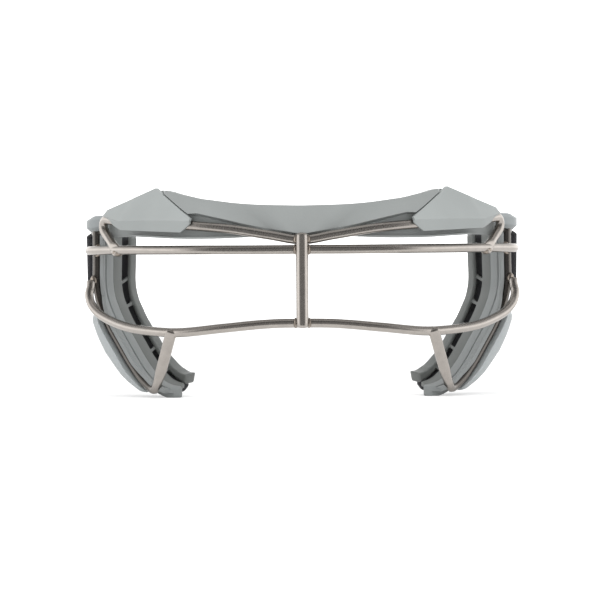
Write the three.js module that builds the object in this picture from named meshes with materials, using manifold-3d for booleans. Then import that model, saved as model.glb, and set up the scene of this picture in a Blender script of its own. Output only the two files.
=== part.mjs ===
// Lacrosse goggles: a welded wire cage, a moulded brow with clip-on wing covers, cheek guards that
// carry the bent side rods, face pads and an elastic head strap with two adjuster sliders.
// Millimetres. +X is to the right as seen from the front, +Y runs back to the wearer, +Z is up.
// Left and right are named as seen from the front.
import * as THREE from 'three';
import { mergeVertices } from 'three/addons/utils/BufferGeometryUtils.js';
import Module from 'manifold-3d';

const wasm = await Module();
wasm.setup();

// Driving sizes of the whole frame
const halfWidth = 88;
const wrapDepth = 56;
const frameHeight = 84;
const wrapPower = 3;

// Wires and rods of the cage
const wireRadius = 1.8;
const bridgeRadius = 2.4;
const bridgeBelow = 3;
const weldClearance = 0.3;
const fitClearance = 0.35;
const wireSides = 10;
const wireSpan = 12;
const wireTurn = 0.15;
const braceBend = 2.9;
const upperBend = 2.2;
const bendSteps = 6;
const searchSteps = 24;

// Brow moulding, its pad and its wing covers
const browThickness = 2.6;
const browRecess = 2.7;
const browCrest = 0.6;
const browPadThickness = 6;
const browPadHeight = 11;
const padEdge = 0.8;
const wingThickness = 1.6;
const wingStand = 2.3;
const wingBevel = 0.5;
const screwRadius = 1.2;
const armHalfWidth = 3.1;
const armHalfHeight = 3.4;

// Cheek guards
const railThickness = 2;
const railInset = 1.5;
const railDepth = 4.3;
const carrierDepth = 6.9;
const slotDepth = 3;
const padRailDepth = 6.5;
const padRailThickness = 3;
const coverThickness = 5;
const ribLength = 2.2;
const cushionDepth = 2.4;
const cushionWidth = 4.6;
const seam = 0.35;
const carrierStep = 0.5;
const coverRound = 2.4;
const cushionGap = 0.6;
const cushionSetBack = 5;
const cushionProud = 1.6;
const ribThickness = 1.4;
const ribDrop = 0.9;
const tipLength = 1.3;
const tipShare = 0.6;
const lugRadius = 2.9;
const lugHeight = 3.6;
const lugShare = 0.23;
const lugFloor = 1.6;

// Strap, its bars and its sliders
const strapWidth = 19;
const strapThickness = 1.8;
const strapBarRadius = 1.5;
const strapBarBack = 9;
const strapBarOut = 1.2;
const strapLoopLength = 48;
const strapRun = 92;
const strapRise = 18;
const strapBackDepth = 128;
const strapTiltDegrees = 48;
const strapLean = 5;
const strapDrop = 13.692;
const barEnd = 3.2;
const sliderLength = 9;
const sliderWall = 1.5;
const sliderPlace = 26;
const strapLayer = 1.9;
const loopEase = 8;
const strapSteps = 22;

const plasticLight = 0xb9bfc0;
const plasticMid = 0x9da3a5;
const plasticDark = 0x85898b;
const steelColour = 0xa8a29a;
const webbingColour = 0x1a1b26;
const foamColour = 0x2b2c30;

// Geometry helpers: a loft through rings of points, and boolean work on closed meshes
function loft(rings) {
  const sides = rings[0].length;
  const positions = [];
  const put = (a, b, c) => {
    for (const point of [a, b, c]) positions.push(point.x, point.y, point.z);
  };
  for (let i = 0; i + 1 < rings.length; i++) {
    for (let k = 0; k < sides; k++) {
      const next = (k + 1) % sides;
      put(rings[i][k], rings[i][next], rings[i + 1][next]);
      put(rings[i][k], rings[i + 1][next], rings[i + 1][k]);
    }
  }
  const first = rings[0];
  const last = rings[rings.length - 1];
  const cap = (ring, flip) => {
    const middle = ring.reduce((sum, point) => sum.add(point), new THREE.Vector3());
    middle.divideScalar(sides);
    for (let k = 0; k < sides; k++) {
      const next = (k + 1) % sides;
      if (flip) put(middle, ring[next], ring[k]);
      else put(middle, ring[k], ring[next]);
    }
  };
  cap(first, true);
  cap(last, false);
  const geometry = new THREE.BufferGeometry();
  geometry.setAttribute('position', new THREE.Float32BufferAttribute(positions, 3));
  return outward(mergeVertices(geometry));
}

function signedVolume(geometry) {
  const place = geometry.getAttribute('position');
  const index = geometry.getIndex();
  const corners = [new THREE.Vector3(), new THREE.Vector3(), new THREE.Vector3()];
  let total = 0;
  for (let i = 0; i < index.count; i += 3) {
    corners.forEach((corner, k) => corner.fromBufferAttribute(place, index.getX(i + k)));
    total += corners[0].dot(corners[1].cross(corners[2]));
  }
  return total;
}

function flipped(geometry) {
  const index = geometry.getIndex();
  for (let i = 0; i < index.count; i += 3) {
    const keep = index.getX(i + 1);
    index.setX(i + 1, index.getX(i + 2));
    index.setX(i + 2, keep);
  }
  return geometry;
}

function outward(geometry) {
  return signedVolume(geometry) < 0 ? flipped(geometry) : geometry;
}

function bare(geometry) {
  const copy = geometry.clone();
  copy.deleteAttribute('normal');
  copy.deleteAttribute('uv');
  return mergeVertices(copy);
}

function solidOf(geometry) {
  const merged = bare(geometry);
  return new wasm.Manifold(new wasm.Mesh({
    numProp: 3,
    vertProperties: new Float32Array(merged.getAttribute('position').array),
    triVerts: new Uint32Array(merged.getIndex().array),
  }));
}

function geometryOf(solid) {
  const mesh = solid.getMesh();
  const geometry = new THREE.BufferGeometry();
  geometry.setAttribute('position', new THREE.BufferAttribute(mesh.vertProperties, 3));
  geometry.setIndex(new THREE.BufferAttribute(mesh.triVerts, 1));
  return geometry;
}

function cut(geometry, ...tools) {
  const left = tools.reduce((solid, tool) => solid.subtract(solidOf(tool)), solidOf(geometry));
  return geometryOf(left);
}

function join(geometry, ...others) {
  const whole = others.reduce((solid, other) => solid.add(solidOf(other)), solidOf(geometry));
  return geometryOf(whole);
}

function mirrored(geometry) {
  const copy = bare(geometry);
  copy.scale(-1, 1, 1);
  return flipped(copy);
}

// Places are given as shares of the half width, the wrap depth and the frame height
function place([across, back, up]) {
  return new THREE.Vector3(across * halfWidth, back * wrapDepth, up * frameHeight);
}

function curveThrough(points) {
  return new THREE.CatmullRomCurve3(points, false, 'centripetal');
}

// Turn a corner between two straight runs on a bend of the given radius
function bend(before, corner, after, radius) {
  const back = before.clone().sub(corner).normalize();
  const on = after.clone().sub(corner).normalize();
  const half = back.angleTo(on) / 2;
  const middle = back.clone().add(on).normalize();
  const across = on.clone().sub(back).normalize();
  const centre = corner.clone().addScaledVector(middle, radius / Math.sin(half));
  const points = [];
  for (let i = 0; i <= bendSteps; i++) {
    const turn = (Math.PI - 2 * half) * (i / bendSteps - 1 / 2);
    points.push(centre.clone()
      .addScaledVector(middle, -radius * Math.cos(turn))
      .addScaledVector(across, radius * Math.sin(turn)));
  }
  return points;
}

// Sample a curve closely where it bends and widely where it runs straight
function bendStations(curve, reach, turn) {
  const fine = Math.ceil(curve.getLength() / weldClearance);
  const kept = [0];
  let tangent = curve.getTangentAt(0);
  for (let i = 1; i < fine; i++) {
    const share = i / fine;
    const here = curve.getTangentAt(share);
    const far = (share - kept[kept.length - 1]) * curve.getLength() > reach;
    if (far || here.angleTo(tangent) > turn) {
      kept.push(share);
      tangent = here;
    }
  }
  kept.push(1);
  return kept;
}

// A round bar along a curve. press may flatten it in places
function bar(curve, radius, press = (share, offset) => offset) {
  const rings = [];
  let side = new THREE.Vector3(0, 1, 0);
  for (const share of bendStations(curve, wireSpan, wireTurn)) {
    const centre = curve.getPointAt(share);
    const along = curve.getTangentAt(share);
    side = side.clone().addScaledVector(along, -side.dot(along));
    if (side.lengthSq() < Number.EPSILON) side.set(1, 0, 0).addScaledVector(along, -along.x);
    side.normalize();
    const other = along.clone().cross(side);
    const ring = [];
    for (let k = 0; k < wireSides; k++) {
      const angle = (k + 1 / 2) * 2 * Math.PI / wireSides;
      const offset = side.clone().multiplyScalar(radius * Math.cos(angle));
      offset.addScaledVector(other, radius * Math.sin(angle));
      ring.push(press(share, offset).add(centre));
    }
    rings.push(ring);
  }
  return loft(rings);
}

// A loft whose concave end rings are triangulated instead of fanned
function profileLoft(rings) {
  const sides = rings[0].length;
  const positions = rings.flat().flatMap((point) => [point.x, point.y, point.z]);
  const index = [];
  for (let i = 0; i + 1 < rings.length; i++) {
    for (let k = 0; k < sides; k++) {
      const next = (k + 1) % sides;
      const low = i * sides;
      const high = low + sides;
      index.push(low + k, low + next, high + next, low + k, high + next, high + k);
    }
  }
  const capOf = (ring, start, flip) => {
    const across = ring[1].clone().sub(ring[0]).normalize();
    const normal = new THREE.Vector3();
    ring.forEach((point, k) => normal.add(point.clone().cross(ring[(k + 1) % sides])));
    const upward = normal.clone().cross(across).normalize();
    const flat = ring.map((point) => new THREE.Vector2(point.dot(across), point.dot(upward)));
    for (const [a, b, c] of THREE.ShapeUtils.triangulateShape(flat, [])) {
      index.push(start + a, start + (flip ? c : b), start + (flip ? b : c));
    }
  };
  capOf(rings[0], 0, true);
  capOf(rings[rings.length - 1], (rings.length - 1) * sides, false);
  const geometry = new THREE.BufferGeometry();
  geometry.setAttribute('position', new THREE.Float32BufferAttribute(positions, 3));
  geometry.setIndex(index);
  return outward(geometry);
}

// Read a table of [share, value] rows with straight lines between them
function along(rows, share) {
  const last = rows.length - 1;
  if (share <= rows[0][0]) return rows[0][1];
  if (share >= rows[last][0]) return rows[last][1];
  const i = rows.findIndex((row) => row[0] > share);
  const [from, low] = rows[i - 1];
  const [to, high] = rows[i];
  return low + (high - low) * (share - from) / (to - from);
}

// Where a curve crosses a distance from the middle
function pointAcross(curve, across) {
  let low = 0;
  let high = 1;
  for (let i = 0; i < searchSteps; i++) {
    const middle = (low + high) / 2;
    if (curve.getPoint(middle).x < across) low = middle;
    else high = middle;
  }
  return curve.getPoint(low);
}

// The whole of a symmetric run, from the points of its right half
function bothSides(right) {
  const left = right.slice(1).reverse().map((point) => new THREE.Vector3(-point.x, point.y, point.z));
  return [...left, ...right];
}

// Cage: routes of the wires, as shares of half width, wrap depth and frame height
const upperWireShares = [
  [0, 0, 0.238], [0.23, 0.012, 0.238], [0.45, 0.091, 0.24], [0.65, 0.275, 0.243],
  [0.8, 0.512, 0.247], [0.9, 0.73, 0.25], [0.958, 0.868, 0.251],
];
const upperCornerShares = [0.988, 1, 0.252];
const upperEndShares = [0.945, 1, 0.252];
const lowerWireShares = [
  [0, 0, -0.099], [0.15, 0.003, -0.102], [0.35, 0.043, -0.121], [0.54, 0.157, -0.14],
  [0.684, 0.32, -0.133], [0.78, 0.475, -0.118], [0.86, 0.636, -0.09], [0.93, 0.79, -0.05],
  [0.967, 0.87, -0.005], [0.978, 0.905, 0.04], [0.972, 0.925, 0.075],
];
const browWireShares = [
  [0, 0, 0.282], [0.14, 0.003, 0.304], [0.316, 0.032, 0.334], [0.493, 0.12, 0.353],
  [0.66, 0.287, 0.364], [0.78, 0.475, 0.376], [0.86, 0.636, 0.39],
];
const browCornerShares = [0.944, 0.837, 0.405];
const rodTopShares = [0.945, 1, 0.37];
const rodShares = [
  [0.945, 1, 0.2], [0.945, 1, 0.09], [0.934, 0.99, 0.015], [0.912, 0.955, -0.05],
  [0.878, 0.905, -0.125], [0.83, 0.835, -0.21], [0.775, 0.755, -0.303], [0.725, 0.68, -0.37],
];
const elbowShares = [[0.686, 0.622, -0.406], [0.669, 0.582, -0.412], [0.657, 0.537, -0.389]];
const strutAcrossShare = 0.574;
const strutSwellShare = 1.22;
const strutPressShare = 0.8;
const pressedShare = 0.7;
const braceAcrossShare = 0.847;
const braceBendShares = [0.872, 0.68, 0.3];
const lowerEndAngle = THREE.MathUtils.degToRad(36);
const lowerEndShare = 0.108;
const bridgeTopShare = 0.315;
const bridgeBottomShare = -0.123;

// Follow a row of places, then turn at a corner towards the end
function turned(rows, corner, end, radius) {
  const run = rows.map(place);
  return [...run, ...bend(run[run.length - 1], place(corner), place(end), radius), place(end)];
}
const upperRight = turned(upperWireShares, upperCornerShares, upperEndShares, upperBend);
const upperWire = curveThrough(bothSides(upperRight));
const rodAxis = place(rodTopShares);
const rodGap = 2 * wireRadius + weldClearance;
const lowerEnd = new THREE.Vector3(
  rodAxis.x + rodGap * Math.sin(lowerEndAngle),
  rodAxis.y - rodGap * Math.cos(lowerEndAngle),
  lowerEndShare * frameHeight,
);
const lowerWire = curveThrough(bothSides([...lowerWireShares.map(place), lowerEnd]));

const braceEnd = pointAcross(upperWire, braceAcrossShare * halfWidth);
const braceLap = wireRadius + weldClearance;
braceEnd.add(new THREE.Vector3(0, -braceLap, -weldClearance));
const browRight = turned(browWireShares, browCornerShares, braceBendShares, braceBend);
const browWire = curveThrough(bothSides([...browRight, braceEnd]));

const strutEnd = pointAcross(lowerWire, strutAcrossShare * halfWidth);
const sideRod = curveThrough([
  place(rodTopShares), ...rodShares.map(place), ...elbowShares.map(place), strutEnd,
]);

// The strut, from the elbow to the lower wire, is pressed flat to face the front
const strutLine = strutEnd.clone().sub(place(elbowShares[elbowShares.length - 1]));
const strutWide = strutLine.clone().cross(new THREE.Vector3(0, 1, 0)).normalize();
const strutDeep = strutWide.clone().cross(strutLine).normalize();
function pressStrut(share, offset) {
  const left = (1 - share) * sideRod.getLength() / strutLine.length();
  const flat = 1 - THREE.MathUtils.smoothstep(left, pressedShare, 1);
  return offset.clone()
    .addScaledVector(strutWide, offset.dot(strutWide) * (strutSwellShare - 1) * flat)
    .addScaledVector(strutDeep, offset.dot(strutDeep) * (strutPressShare - 1) * flat);
}
const bridgeAxis = curveThrough([
  new THREE.Vector3(0, -bridgeBelow, bridgeTopShare * frameHeight),
  new THREE.Vector3(0, -bridgeBelow, bridgeBottomShare * frameHeight),
]);
const around = wireRadius + weldClearance;
const upperKeep = bar(upperWire, around);
const lowerKeep = bar(lowerWire, around);
const browKeep = bar(browWire, around);
const rodKeep = bar(sideRod, around);

const pieces = new THREE.Group();
function add(name, geometry, colour, roughness, metalness) {
  const material = new THREE.MeshStandardMaterial({ color: colour, roughness, metalness });
  const mesh = new THREE.Mesh(geometry, material);
  mesh.name = name;
  pieces.add(mesh);
}
function steel(name, geometry) {
  add(name, geometry, steelColour, 0.35, 0.9);
}
function plastic(name, geometry, colour) {
  add(name, geometry, colour, 0.55, 0);
}
function foam(name, geometry, colour) {
  add(name, geometry, colour, 0.9, 0);
}
function pair(put, name, geometry, ...finish) {
  put(`${name}_right`, geometry, ...finish);
  put(`${name}_left`, mirrored(geometry), ...finish);
}

steel('upper_wire', cut(bar(upperWire, wireRadius), rodKeep, mirrored(rodKeep)));
steel('lower_wire', bar(lowerWire, wireRadius));
steel('brow_wire', cut(bar(browWire, wireRadius), upperKeep));
steel('nose_bridge_rod', cut(bar(bridgeAxis, bridgeRadius), upperKeep, lowerKeep, browKeep));
pair(steel, 'side_rod', cut(bar(sideRod, wireRadius, pressStrut), lowerKeep));

// The brow, its pad and its covers follow the front curve of the cage. out is measured square to
// that curve, away from the face
function onBrow(across, out, up) {
  const share = Math.abs(across) / halfWidth;
  const slope = Math.sign(across) * wrapPower * wrapDepth / halfWidth * share ** (wrapPower - 1);
  const normal = new THREE.Vector3(slope, -1, 0).normalize();
  const back = wrapDepth * share ** wrapPower;
  return new THREE.Vector3(across, back, up).addScaledVector(normal, out);
}

// Heights along the brow, as shares of the frame height at shares of the half width
const browTopShares = [
  [0, 0.443], [0.14, 0.445], [0.28, 0.452], [0.465, 0.478], [0.57, 0.504], [0.63, 0.521],
  [0.7, 0.525], [0.79, 0.484], [0.93, 0.41],
];
const crestShares = [
  [0, 0.312], [0.05, 0.319], [0.22, 0.349], [0.46, 0.409], [0.55, 0.453], [0.6, 0.488],
];
const lipShares = [
  [0, 0.302], [0.18, 0.3], [0.28, 0.295], [0.42, 0.291], [0.56, 0.293], [0.78, 0.311],
];
const crestOutShares = [[0, -0.1], [0.15, 0.5], [0.4, 1]];
const lipOutShares = [
  [0, -0.9], [0.2, -0.8], [0.28, -0.8], [0.4, -0.2], [0.55, 0], [0.74, 0], [0.8, -0.9],
];
const browStations = [
  0, 0.08, 0.16, 0.24, 0.32, 0.4, 0.46, 0.5, 0.54, 0.58, 0.61, 0.64, 0.67, 0.7, 0.75, 0.8, 0.86,
  0.905,
];
const browSlopeShare = 0.5;
const undercut = 1;
const lipRise = 1.4;
const browBack = browRecess + browThickness;

// Wing covers: an upper and a lower facet that meet in a ridge
const wingTopShares = [
  [0.475, 0.382], [0.553, 0.441], [0.62, 0.487], [0.695, 0.535], [0.79, 0.4875], [0.882, 0.442],
];
const wingRidgeShares = [[0.475, 0.376], [0.882, 0.396]];
const wingBottomShares = [
  [0.475, 0.363], [0.5, 0.34], [0.524, 0.321], [0.66, 0.33], [0.795, 0.341], [0.83, 0.362],
  [0.882, 0.39],
];
const wingSwellShares = [[0.78, 1], [0.882, 0.7]];
const wingStations = [0.478, 0.5, 0.524, 0.553, 0.59, 0.62, 0.66, 0.695, 0.74, 0.79, 0.83, 0.882];
const wingPeakShare = 0.69;
const wingBehindShare = 0.65;
const wingSlopeShare = 0.68;
const wingUnderShare = 0.12;
const wingOuter = wingStand + wingThickness;
const wingRoom = fitClearance * 1.5;

function symmetric(stations) {
  return [...stations.slice(1).reverse().map((share) => -share), ...stations];
}

function browRing(share) {
  const across = share * halfWidth;
  const side = Math.abs(share);
  const wingTop = along(wingTopShares, side) * frameHeight;
  const ridge = along(wingRidgeShares, side) * frameHeight;
  const underWing = (up) => Math.min(
    wingStand - wingBevel - wingRoom - Math.abs(up - ridge) * wingSlopeShare, -browRecess);
  const flush = (up) => wingOuter - wingBevel - (up - ridge) * wingSlopeShare;
  const lip = along(lipShares, side) * frameHeight;
  const covered = side > wingStations[0];
  let top = along(browTopShares, side) * frameHeight;
  let crest = along(crestShares, side) * frameHeight;
  let crestOut = along(crestOutShares, side) * browCrest;
  let under = crest - undercut;
  if (covered) {
    crest = wingTop + wingRoom;
    under = wingTop + wingRoom / 2;
    crestOut = side > wingBehindShare ? underWing(crest) : Math.min(crestOut, flush(crest));
  }
  let topOut = crestOut - (top - crest) * browSlopeShare - browCrest;
  if (side > wingPeakShare) {
    top = wingTop - wingRoom * 2;
    crest = top - undercut / 2;
    topOut = underWing(top);
    crestOut = underWing(crest);
    under = crest - undercut;
  }
  const underOut = covered ? underWing(under) : -browRecess;
  const low = Math.min(under, covered ? ridge : crest) - lipRise;
  const lipOut = along(lipOutShares, side) * browRecess;
  const lipTop = Math.min(lip + lipRise / 2, low - lipRise / 4);
  return [
    onBrow(across, topOut, top),
    onBrow(across, crestOut, crest),
    onBrow(across, underOut, under),
    onBrow(across, -browRecess, Math.max(low, lipTop + lipRise / 4)),
    onBrow(across, -browRecess, lipTop),
    onBrow(across, lipOut, lipTop),
    onBrow(across, lipOut, lip),
    onBrow(across, -browBack, lip),
    onBrow(across, topOut - browThickness, top),
  ];
}
const browBody = profileLoft(symmetric(browStations).map(browRing));

function wingRing(share) {
  const across = share * halfWidth;
  const top = along(wingTopShares, share) * frameHeight;
  const ridge = along(wingRidgeShares, share) * frameHeight;
  const bottom = along(wingBottomShares, share) * frameHeight;
  const drawn = (along(wingSwellShares, share) - 1) * wingOuter;
  const at = (out, up, slope) => onBrow(across, drawn + out - Math.abs(up - ridge) * slope, up);
  return [
    at(wingOuter - wingBevel, top, wingSlopeShare),
    at(wingOuter, ridge, 0),
    at(wingOuter - wingBevel, bottom, wingUnderShare),
    at(wingStand, bottom, wingUnderShare),
    at(wingStand, ridge, 0),
    at(wingStand - wingBevel, top, wingSlopeShare),
  ];
}
const wingBody = profileLoft(wingStations.map(wingRing));

// The temple arm runs from behind the brow's end to the cap over the side rod and the strap bar
const armShares = [
  [0.827, 0.798, 0.395], [0.893, 0.93, 0.388], [0.95, 1.0, 0.38], [0.963, 1.06, 0.38],
  [0.962, 1.2, 0.385],
];
const armWideShares = [0.61, 0.71, 0.94, 1, 0.87];
const armTallShares = [0.76, 0.82, 1, 0.97, 0.85];
const armBevelShare = 0.45;
const armPath = armShares.map(place);
const armRings = armPath.map((centre, i) => {
  const before = armPath[Math.max(i - 1, 0)];
  const after = armPath[Math.min(i + 1, armPath.length - 1)];
  const forward = after.clone().sub(before).setZ(0).normalize();
  const outer = new THREE.Vector3(forward.y, -forward.x, 0);
  const wide = armWideShares[i] * armHalfWidth;
  const tall = armTallShares[i] * armHalfHeight;
  const corner = (a, b) => centre.clone()
    .addScaledVector(outer, a * wide)
    .add(new THREE.Vector3(0, 0, b * tall));
  const soft = 1 - armBevelShare;
  return [
    corner(-1, -1), corner(soft, -1), corner(1, -soft),
    corner(1, soft), corner(soft, 1), corner(-1, 1),
  ];
});

// The strap runs back and up from its bar. a is measured along it, s towards the outside, w up
// its width
const strapCentre = new THREE.Vector3(
  rodAxis.x + strapBarOut, rodAxis.y + strapBarBack, armPath[2].z - strapDrop);
const strapAlong = new THREE.Vector3(-strapLean, strapRun, strapRise).normalize();
const strapUp = new THREE.Vector3(0, -strapAlong.z, strapAlong.y).normalize();
const strapSide = strapAlong.clone().cross(strapUp).normalize();
function onStrap(a, s, w) {
  return strapCentre.clone()
    .addScaledVector(strapAlong, a)
    .addScaledVector(strapSide, s)
    .addScaledVector(strapUp, w);
}
const barReach = strapWidth / 2 + barEnd;
const strapBarAxis = curveThrough([onStrap(0, 0, -barReach), onStrap(0, 0, barReach)]);
const overrun = 6;
const rodHole = bar(curveThrough([
  rodAxis.clone().setZ(rodAxis.z - overrun), rodAxis.clone().setZ(rodAxis.z + fitClearance),
]), wireRadius + fitClearance);
const strapBarHole = bar(curveThrough([
  onStrap(0, 0, -barReach - fitClearance), onStrap(0, 0, barReach + fitClearance),
]), strapBarRadius + fitClearance);

// Each wing cover is held by a screw from behind the brow, into a boss on the cover
const screwShare = 0.69;
const screwUpShare = 0.44;
const screwHeadRadius = 2.5;
const screwHead = 1.2;
const bossRadius = 2.6;
function screwSpan(from, to, radius) {
  const at = (out) => onBrow(screwShare * halfWidth, out, screwUpShare * frameHeight);
  return bar(curveThrough([at(from), at(to)]), radius);
}
const browFace = -browRecess - fitClearance * 3;
const screwSeat = browFace - browThickness * 1.5;
const ridgeAtScrew = along(wingRidgeShares, screwShare);
const bossFront = wingStand - (screwUpShare - ridgeAtScrew) * frameHeight * wingSlopeShare;
const boss = screwSpan(browFace + fitClearance, bossFront, bossRadius);
const holeRadius = screwRadius + fitClearance;
const shankHole = screwSpan(screwSeat - overrun, bossFront - fitClearance, holeRadius);
const headSeat = screwSpan(screwSeat - overrun, screwSeat, screwHeadRadius + fitClearance);
const screw = join(
  screwSpan(screwSeat - screwHead, screwSeat - fitClearance, screwHeadRadius),
  screwSpan(screwSeat - screwHead / 2, bossFront - fitClearance * 2, screwRadius));
pair(plastic, 'wing_cover', cut(join(cut(wingBody, browKeep), boss), shankHole), plasticLight);
const browTools = [shankHole, headSeat];
const browShell = cut(browBody, ...browTools, ...browTools.map(mirrored));
plastic('brow_shell', browShell, plasticMid);
pair(steel, 'wing_screw', screw);
const armBody = profileLoft(armRings);
pair(plastic, 'temple_arm', cut(armBody, rodHole, strapBarHole, browKeep), plasticLight);
pair(steel, 'strap_bar', bar(strapBarAxis, strapBarRadius));

// Brow pad: a foam strip along the back of the brow
const padStations = [0, 0.12, 0.24, 0.36, 0.46, 0.55, 0.61];
function browPadRing(share) {
  const ring = browRing(share);
  const low = ring[7];
  const high = ring[8];
  const across = share * halfWidth;
  const lip = along(lipShares, Math.abs(share)) * frameHeight;
  const backOut = (point) => -point.clone().sub(onBrow(across, 0, point.z)).length();
  const slope = (backOut(high) - backOut(low)) / (high.z - low.z);
  const at = (depth, up) => onBrow(
    across, -browBack - fitClearance + (up - lip) * Math.min(slope, 0) - depth, up);
  const bottom = lip + padEdge;
  const top = bottom + browPadHeight;
  return [
    at(0, bottom), at(0, top), at(browPadThickness / 2, top),
    at(browPadThickness, top - padEdge * 2), at(browPadThickness, bottom + padEdge * 2),
    at(browPadThickness / 2, bottom),
  ];
}
foam('brow_pad', profileLoft(symmetric(padStations).map(browPadRing)), foamColour);

// Cheek wall: rails that follow the side rod down to the cheek. e is measured from the rod back
// towards the face, o square to that, away from the eye
const wallShares = [
  [0.945, 1, 0.332], [0.945, 1, 0.2], [0.945, 1, 0.09], [0.934, 0.99, 0.015], [0.912, 0.955, -0.05],
  [0.878, 0.905, -0.125], [0.83, 0.835, -0.21], [0.775, 0.755, -0.304], [0.725, 0.68, -0.374],
  [0.672, 0.607, -0.424], [0.62, 0.548, -0.449], [0.565, 0.505, -0.458],
];
const wall = curveThrough(wallShares.map(place));
const wallBackTop = new THREE.Vector3(-0.487, 0.873, 0);
const wallBackTip = new THREE.Vector3(-0.514, 0.829, 0.221);
const wallSpreadShare = -0.18;
const wallSteps = 15;
const floorShare = -0.4506;

function onWall(share, e, o) {
  const down = wall.getTangentAt(share);
  const back = wallBackTop.clone().lerp(wallBackTip, share);
  back.addScaledVector(down, -back.dot(down)).normalize();
  const out = down.clone().cross(back);
  return wall.getPointAt(share)
    .addScaledVector(back, e * (1 + wallSpreadShare * share))
    .addScaledVector(out, o);
}

// A rail along the wall, drawn in at its two tips. The section gives its [e, o] corners at a share
function rail(section, from, to) {
  const rings = [];
  const ringAt = (share, size) => {
    const corners = section(share);
    const middleE = corners.reduce((sum, corner) => sum + corner[0], 0) / corners.length;
    const middleO = corners.reduce((sum, corner) => sum + corner[1], 0) / corners.length;
    return corners.map(([e, o]) => onWall(
      share, middleE + (e - middleE) * size, middleO + (o - middleO) * size));
  };
  const tip = tipLength / wall.getLength();
  rings.push(ringAt(from, tipShare));
  for (let i = 0; i <= wallSteps; i++) {
    rings.push(ringAt(from + tip + (to - from - 2 * tip) * i / wallSteps, 1));
  }
  rings.push(ringAt(to, tipShare));
  return profileLoft(rings);
}

const grooveSide = wireRadius + fitClearance;
const railInside = -grooveSide - railThickness;
const railOutside = grooveSide - wireRadius + fitClearance;
const lipFront = -railInset;
const railBack = railDepth + wireRadius;
const carrierFront = railBack + seam;
const carrierBack = carrierFront + carrierDepth;
const padRailFront = carrierBack + slotDepth;
const padRailBack = padRailFront + padRailDepth;
const carrierInside = railInside + carrierStep;
const padRailInside = railInside - carrierStep;

const frameSection = () => [
  [lipFront, railInside], [railBack, railInside], [railBack, railOutside],
  [grooveSide, railOutside], [grooveSide, -grooveSide], [lipFront, -grooveSide],
];

// The cover swells to its middle and runs out flat at the cheek. coverOutShares gives its outer face
const coverOutShares = [
  [0.34, 7.4], [0.45, 8.6], [0.53, 9.2], [0.61, 8.6], [0.67, 8], [0.72, 7], [0.77, 5.4],
  [0.82, 4.2],
];
const coverFoot = railOutside + fitClearance;
const coverBack = coverThickness + wireRadius;
const coverSection = (share) => {
  const coverOut = along(coverOutShares, share);
  const round = Math.min(coverRound, (coverOut - grooveSide) / 2);
  return [
    [lipFront, grooveSide], [grooveSide, grooveSide], [grooveSide, coverFoot],
    [coverBack, coverFoot], [coverBack, coverOut - round], [coverThickness, coverOut - round / 3],
    [coverThickness / 2, coverOut], [lipFront / 2, coverOut - round / 2],
  ];
};
const carrierSection = () => [
  [carrierFront, carrierInside], [carrierBack, carrierInside],
  [carrierBack, carrierInside + railThickness], [carrierFront, carrierInside + railThickness],
];
const padRailSection = () => [
  [padRailFront, padRailInside], [padRailBack, padRailInside],
  [padRailBack, padRailInside + padRailThickness], [padRailFront, padRailInside + padRailThickness],
];
const ladderOut = Math.max(carrierInside + railThickness, padRailInside + padRailThickness);
const cushionIn = ladderOut + cushionGap;
const cushionFront = carrierFront + cushionSetBack;
const cushionOut = cushionIn + cushionWidth;
const cushionSection = () => [
  [cushionFront, cushionIn], [padRailBack + cushionProud, cushionIn],
  [padRailBack + cushionProud * 2, cushionIn + cushionWidth / 3],
  [padRailBack + cushionProud, cushionOut], [cushionFront + cushionDepth, cushionOut],
  [cushionFront, cushionIn + cushionWidth / 2],
];

const coverEndShares = [0.345, 0.815];
const carrierEndShare = 0.975;
const padRailEndShare = 0.915;
const cushionEndShares = [0.03, 0.88];
const ribShares = [0.07, 0.225, 0.37, 0.52, 0.68, 0.82];
const ribSlantShare = 0.03;
const ribWide = ribLength / wall.getLength();

function rib(share) {
  const rings = [];
  for (const [e, shift] of [[carrierBack - seam, 0], [padRailFront + seam, ribSlantShare]]) {
    const top = share + shift;
    const inside = railInside + ribDrop;
    rings.push([
      onWall(top, e, inside), onWall(top + ribWide, e, inside),
      onWall(top + ribWide, e, inside + ribThickness), onWall(top, e, inside + ribThickness),
    ]);
  }
  return loft(rings);
}

// Lug that holds the foot of the strap bar, part of the cheek frame
const barFoot = onStrap(0, 0, -barReach);
const lugRoot = onWall(lugShare, railBack - wireRadius, 0);
const lugLine = new THREE.Vector2(barFoot.x - lugRoot.x, barFoot.y - lugRoot.y);
const lugShape = new THREE.Shape();
lugShape.absarc(0, 0, lugRadius, Math.PI / 2, -Math.PI / 2, true);
lugShape.lineTo(-lugLine.length(), -lugRadius);
lugShape.lineTo(-lugLine.length(), lugRadius);
lugShape.closePath();
const lug = new THREE.ExtrudeGeometry(
  lugShape, { depth: lugHeight, bevelEnabled: false, curveSegments: wireSides });
lug.rotateZ(lugLine.angle());
lug.translate(barFoot.x, barFoot.y, barFoot.z - lugFloor);

const floorLevel = floorShare * frameHeight;
const floorBlock = new THREE.BoxGeometry(halfWidth * 3, wrapDepth * 4, frameHeight);
floorBlock.translate(0, 0, floorLevel - frameHeight / 2);

const cheekFrame = cut(join(rail(frameSection, 0, 1), lug), rodKeep, strapBarHole, floorBlock);
pair(plastic, 'cheek_frame', cheekFrame, plasticMid);
const coverBody = rail(coverSection, ...coverEndShares);
pair(plastic, 'cheek_cover', cut(coverBody, rodKeep, lowerKeep, floorBlock), plasticLight);
const carrier = join(
  rail(carrierSection, 0, carrierEndShare),
  rail(padRailSection, 0, padRailEndShare),
  ...ribShares.map(rib));
pair(plastic, 'pad_carrier', cut(carrier, rodKeep), plasticDark);
pair(foam, 'cheek_cushion', rail(cushionSection, ...cushionEndShares), foamColour);

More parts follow.
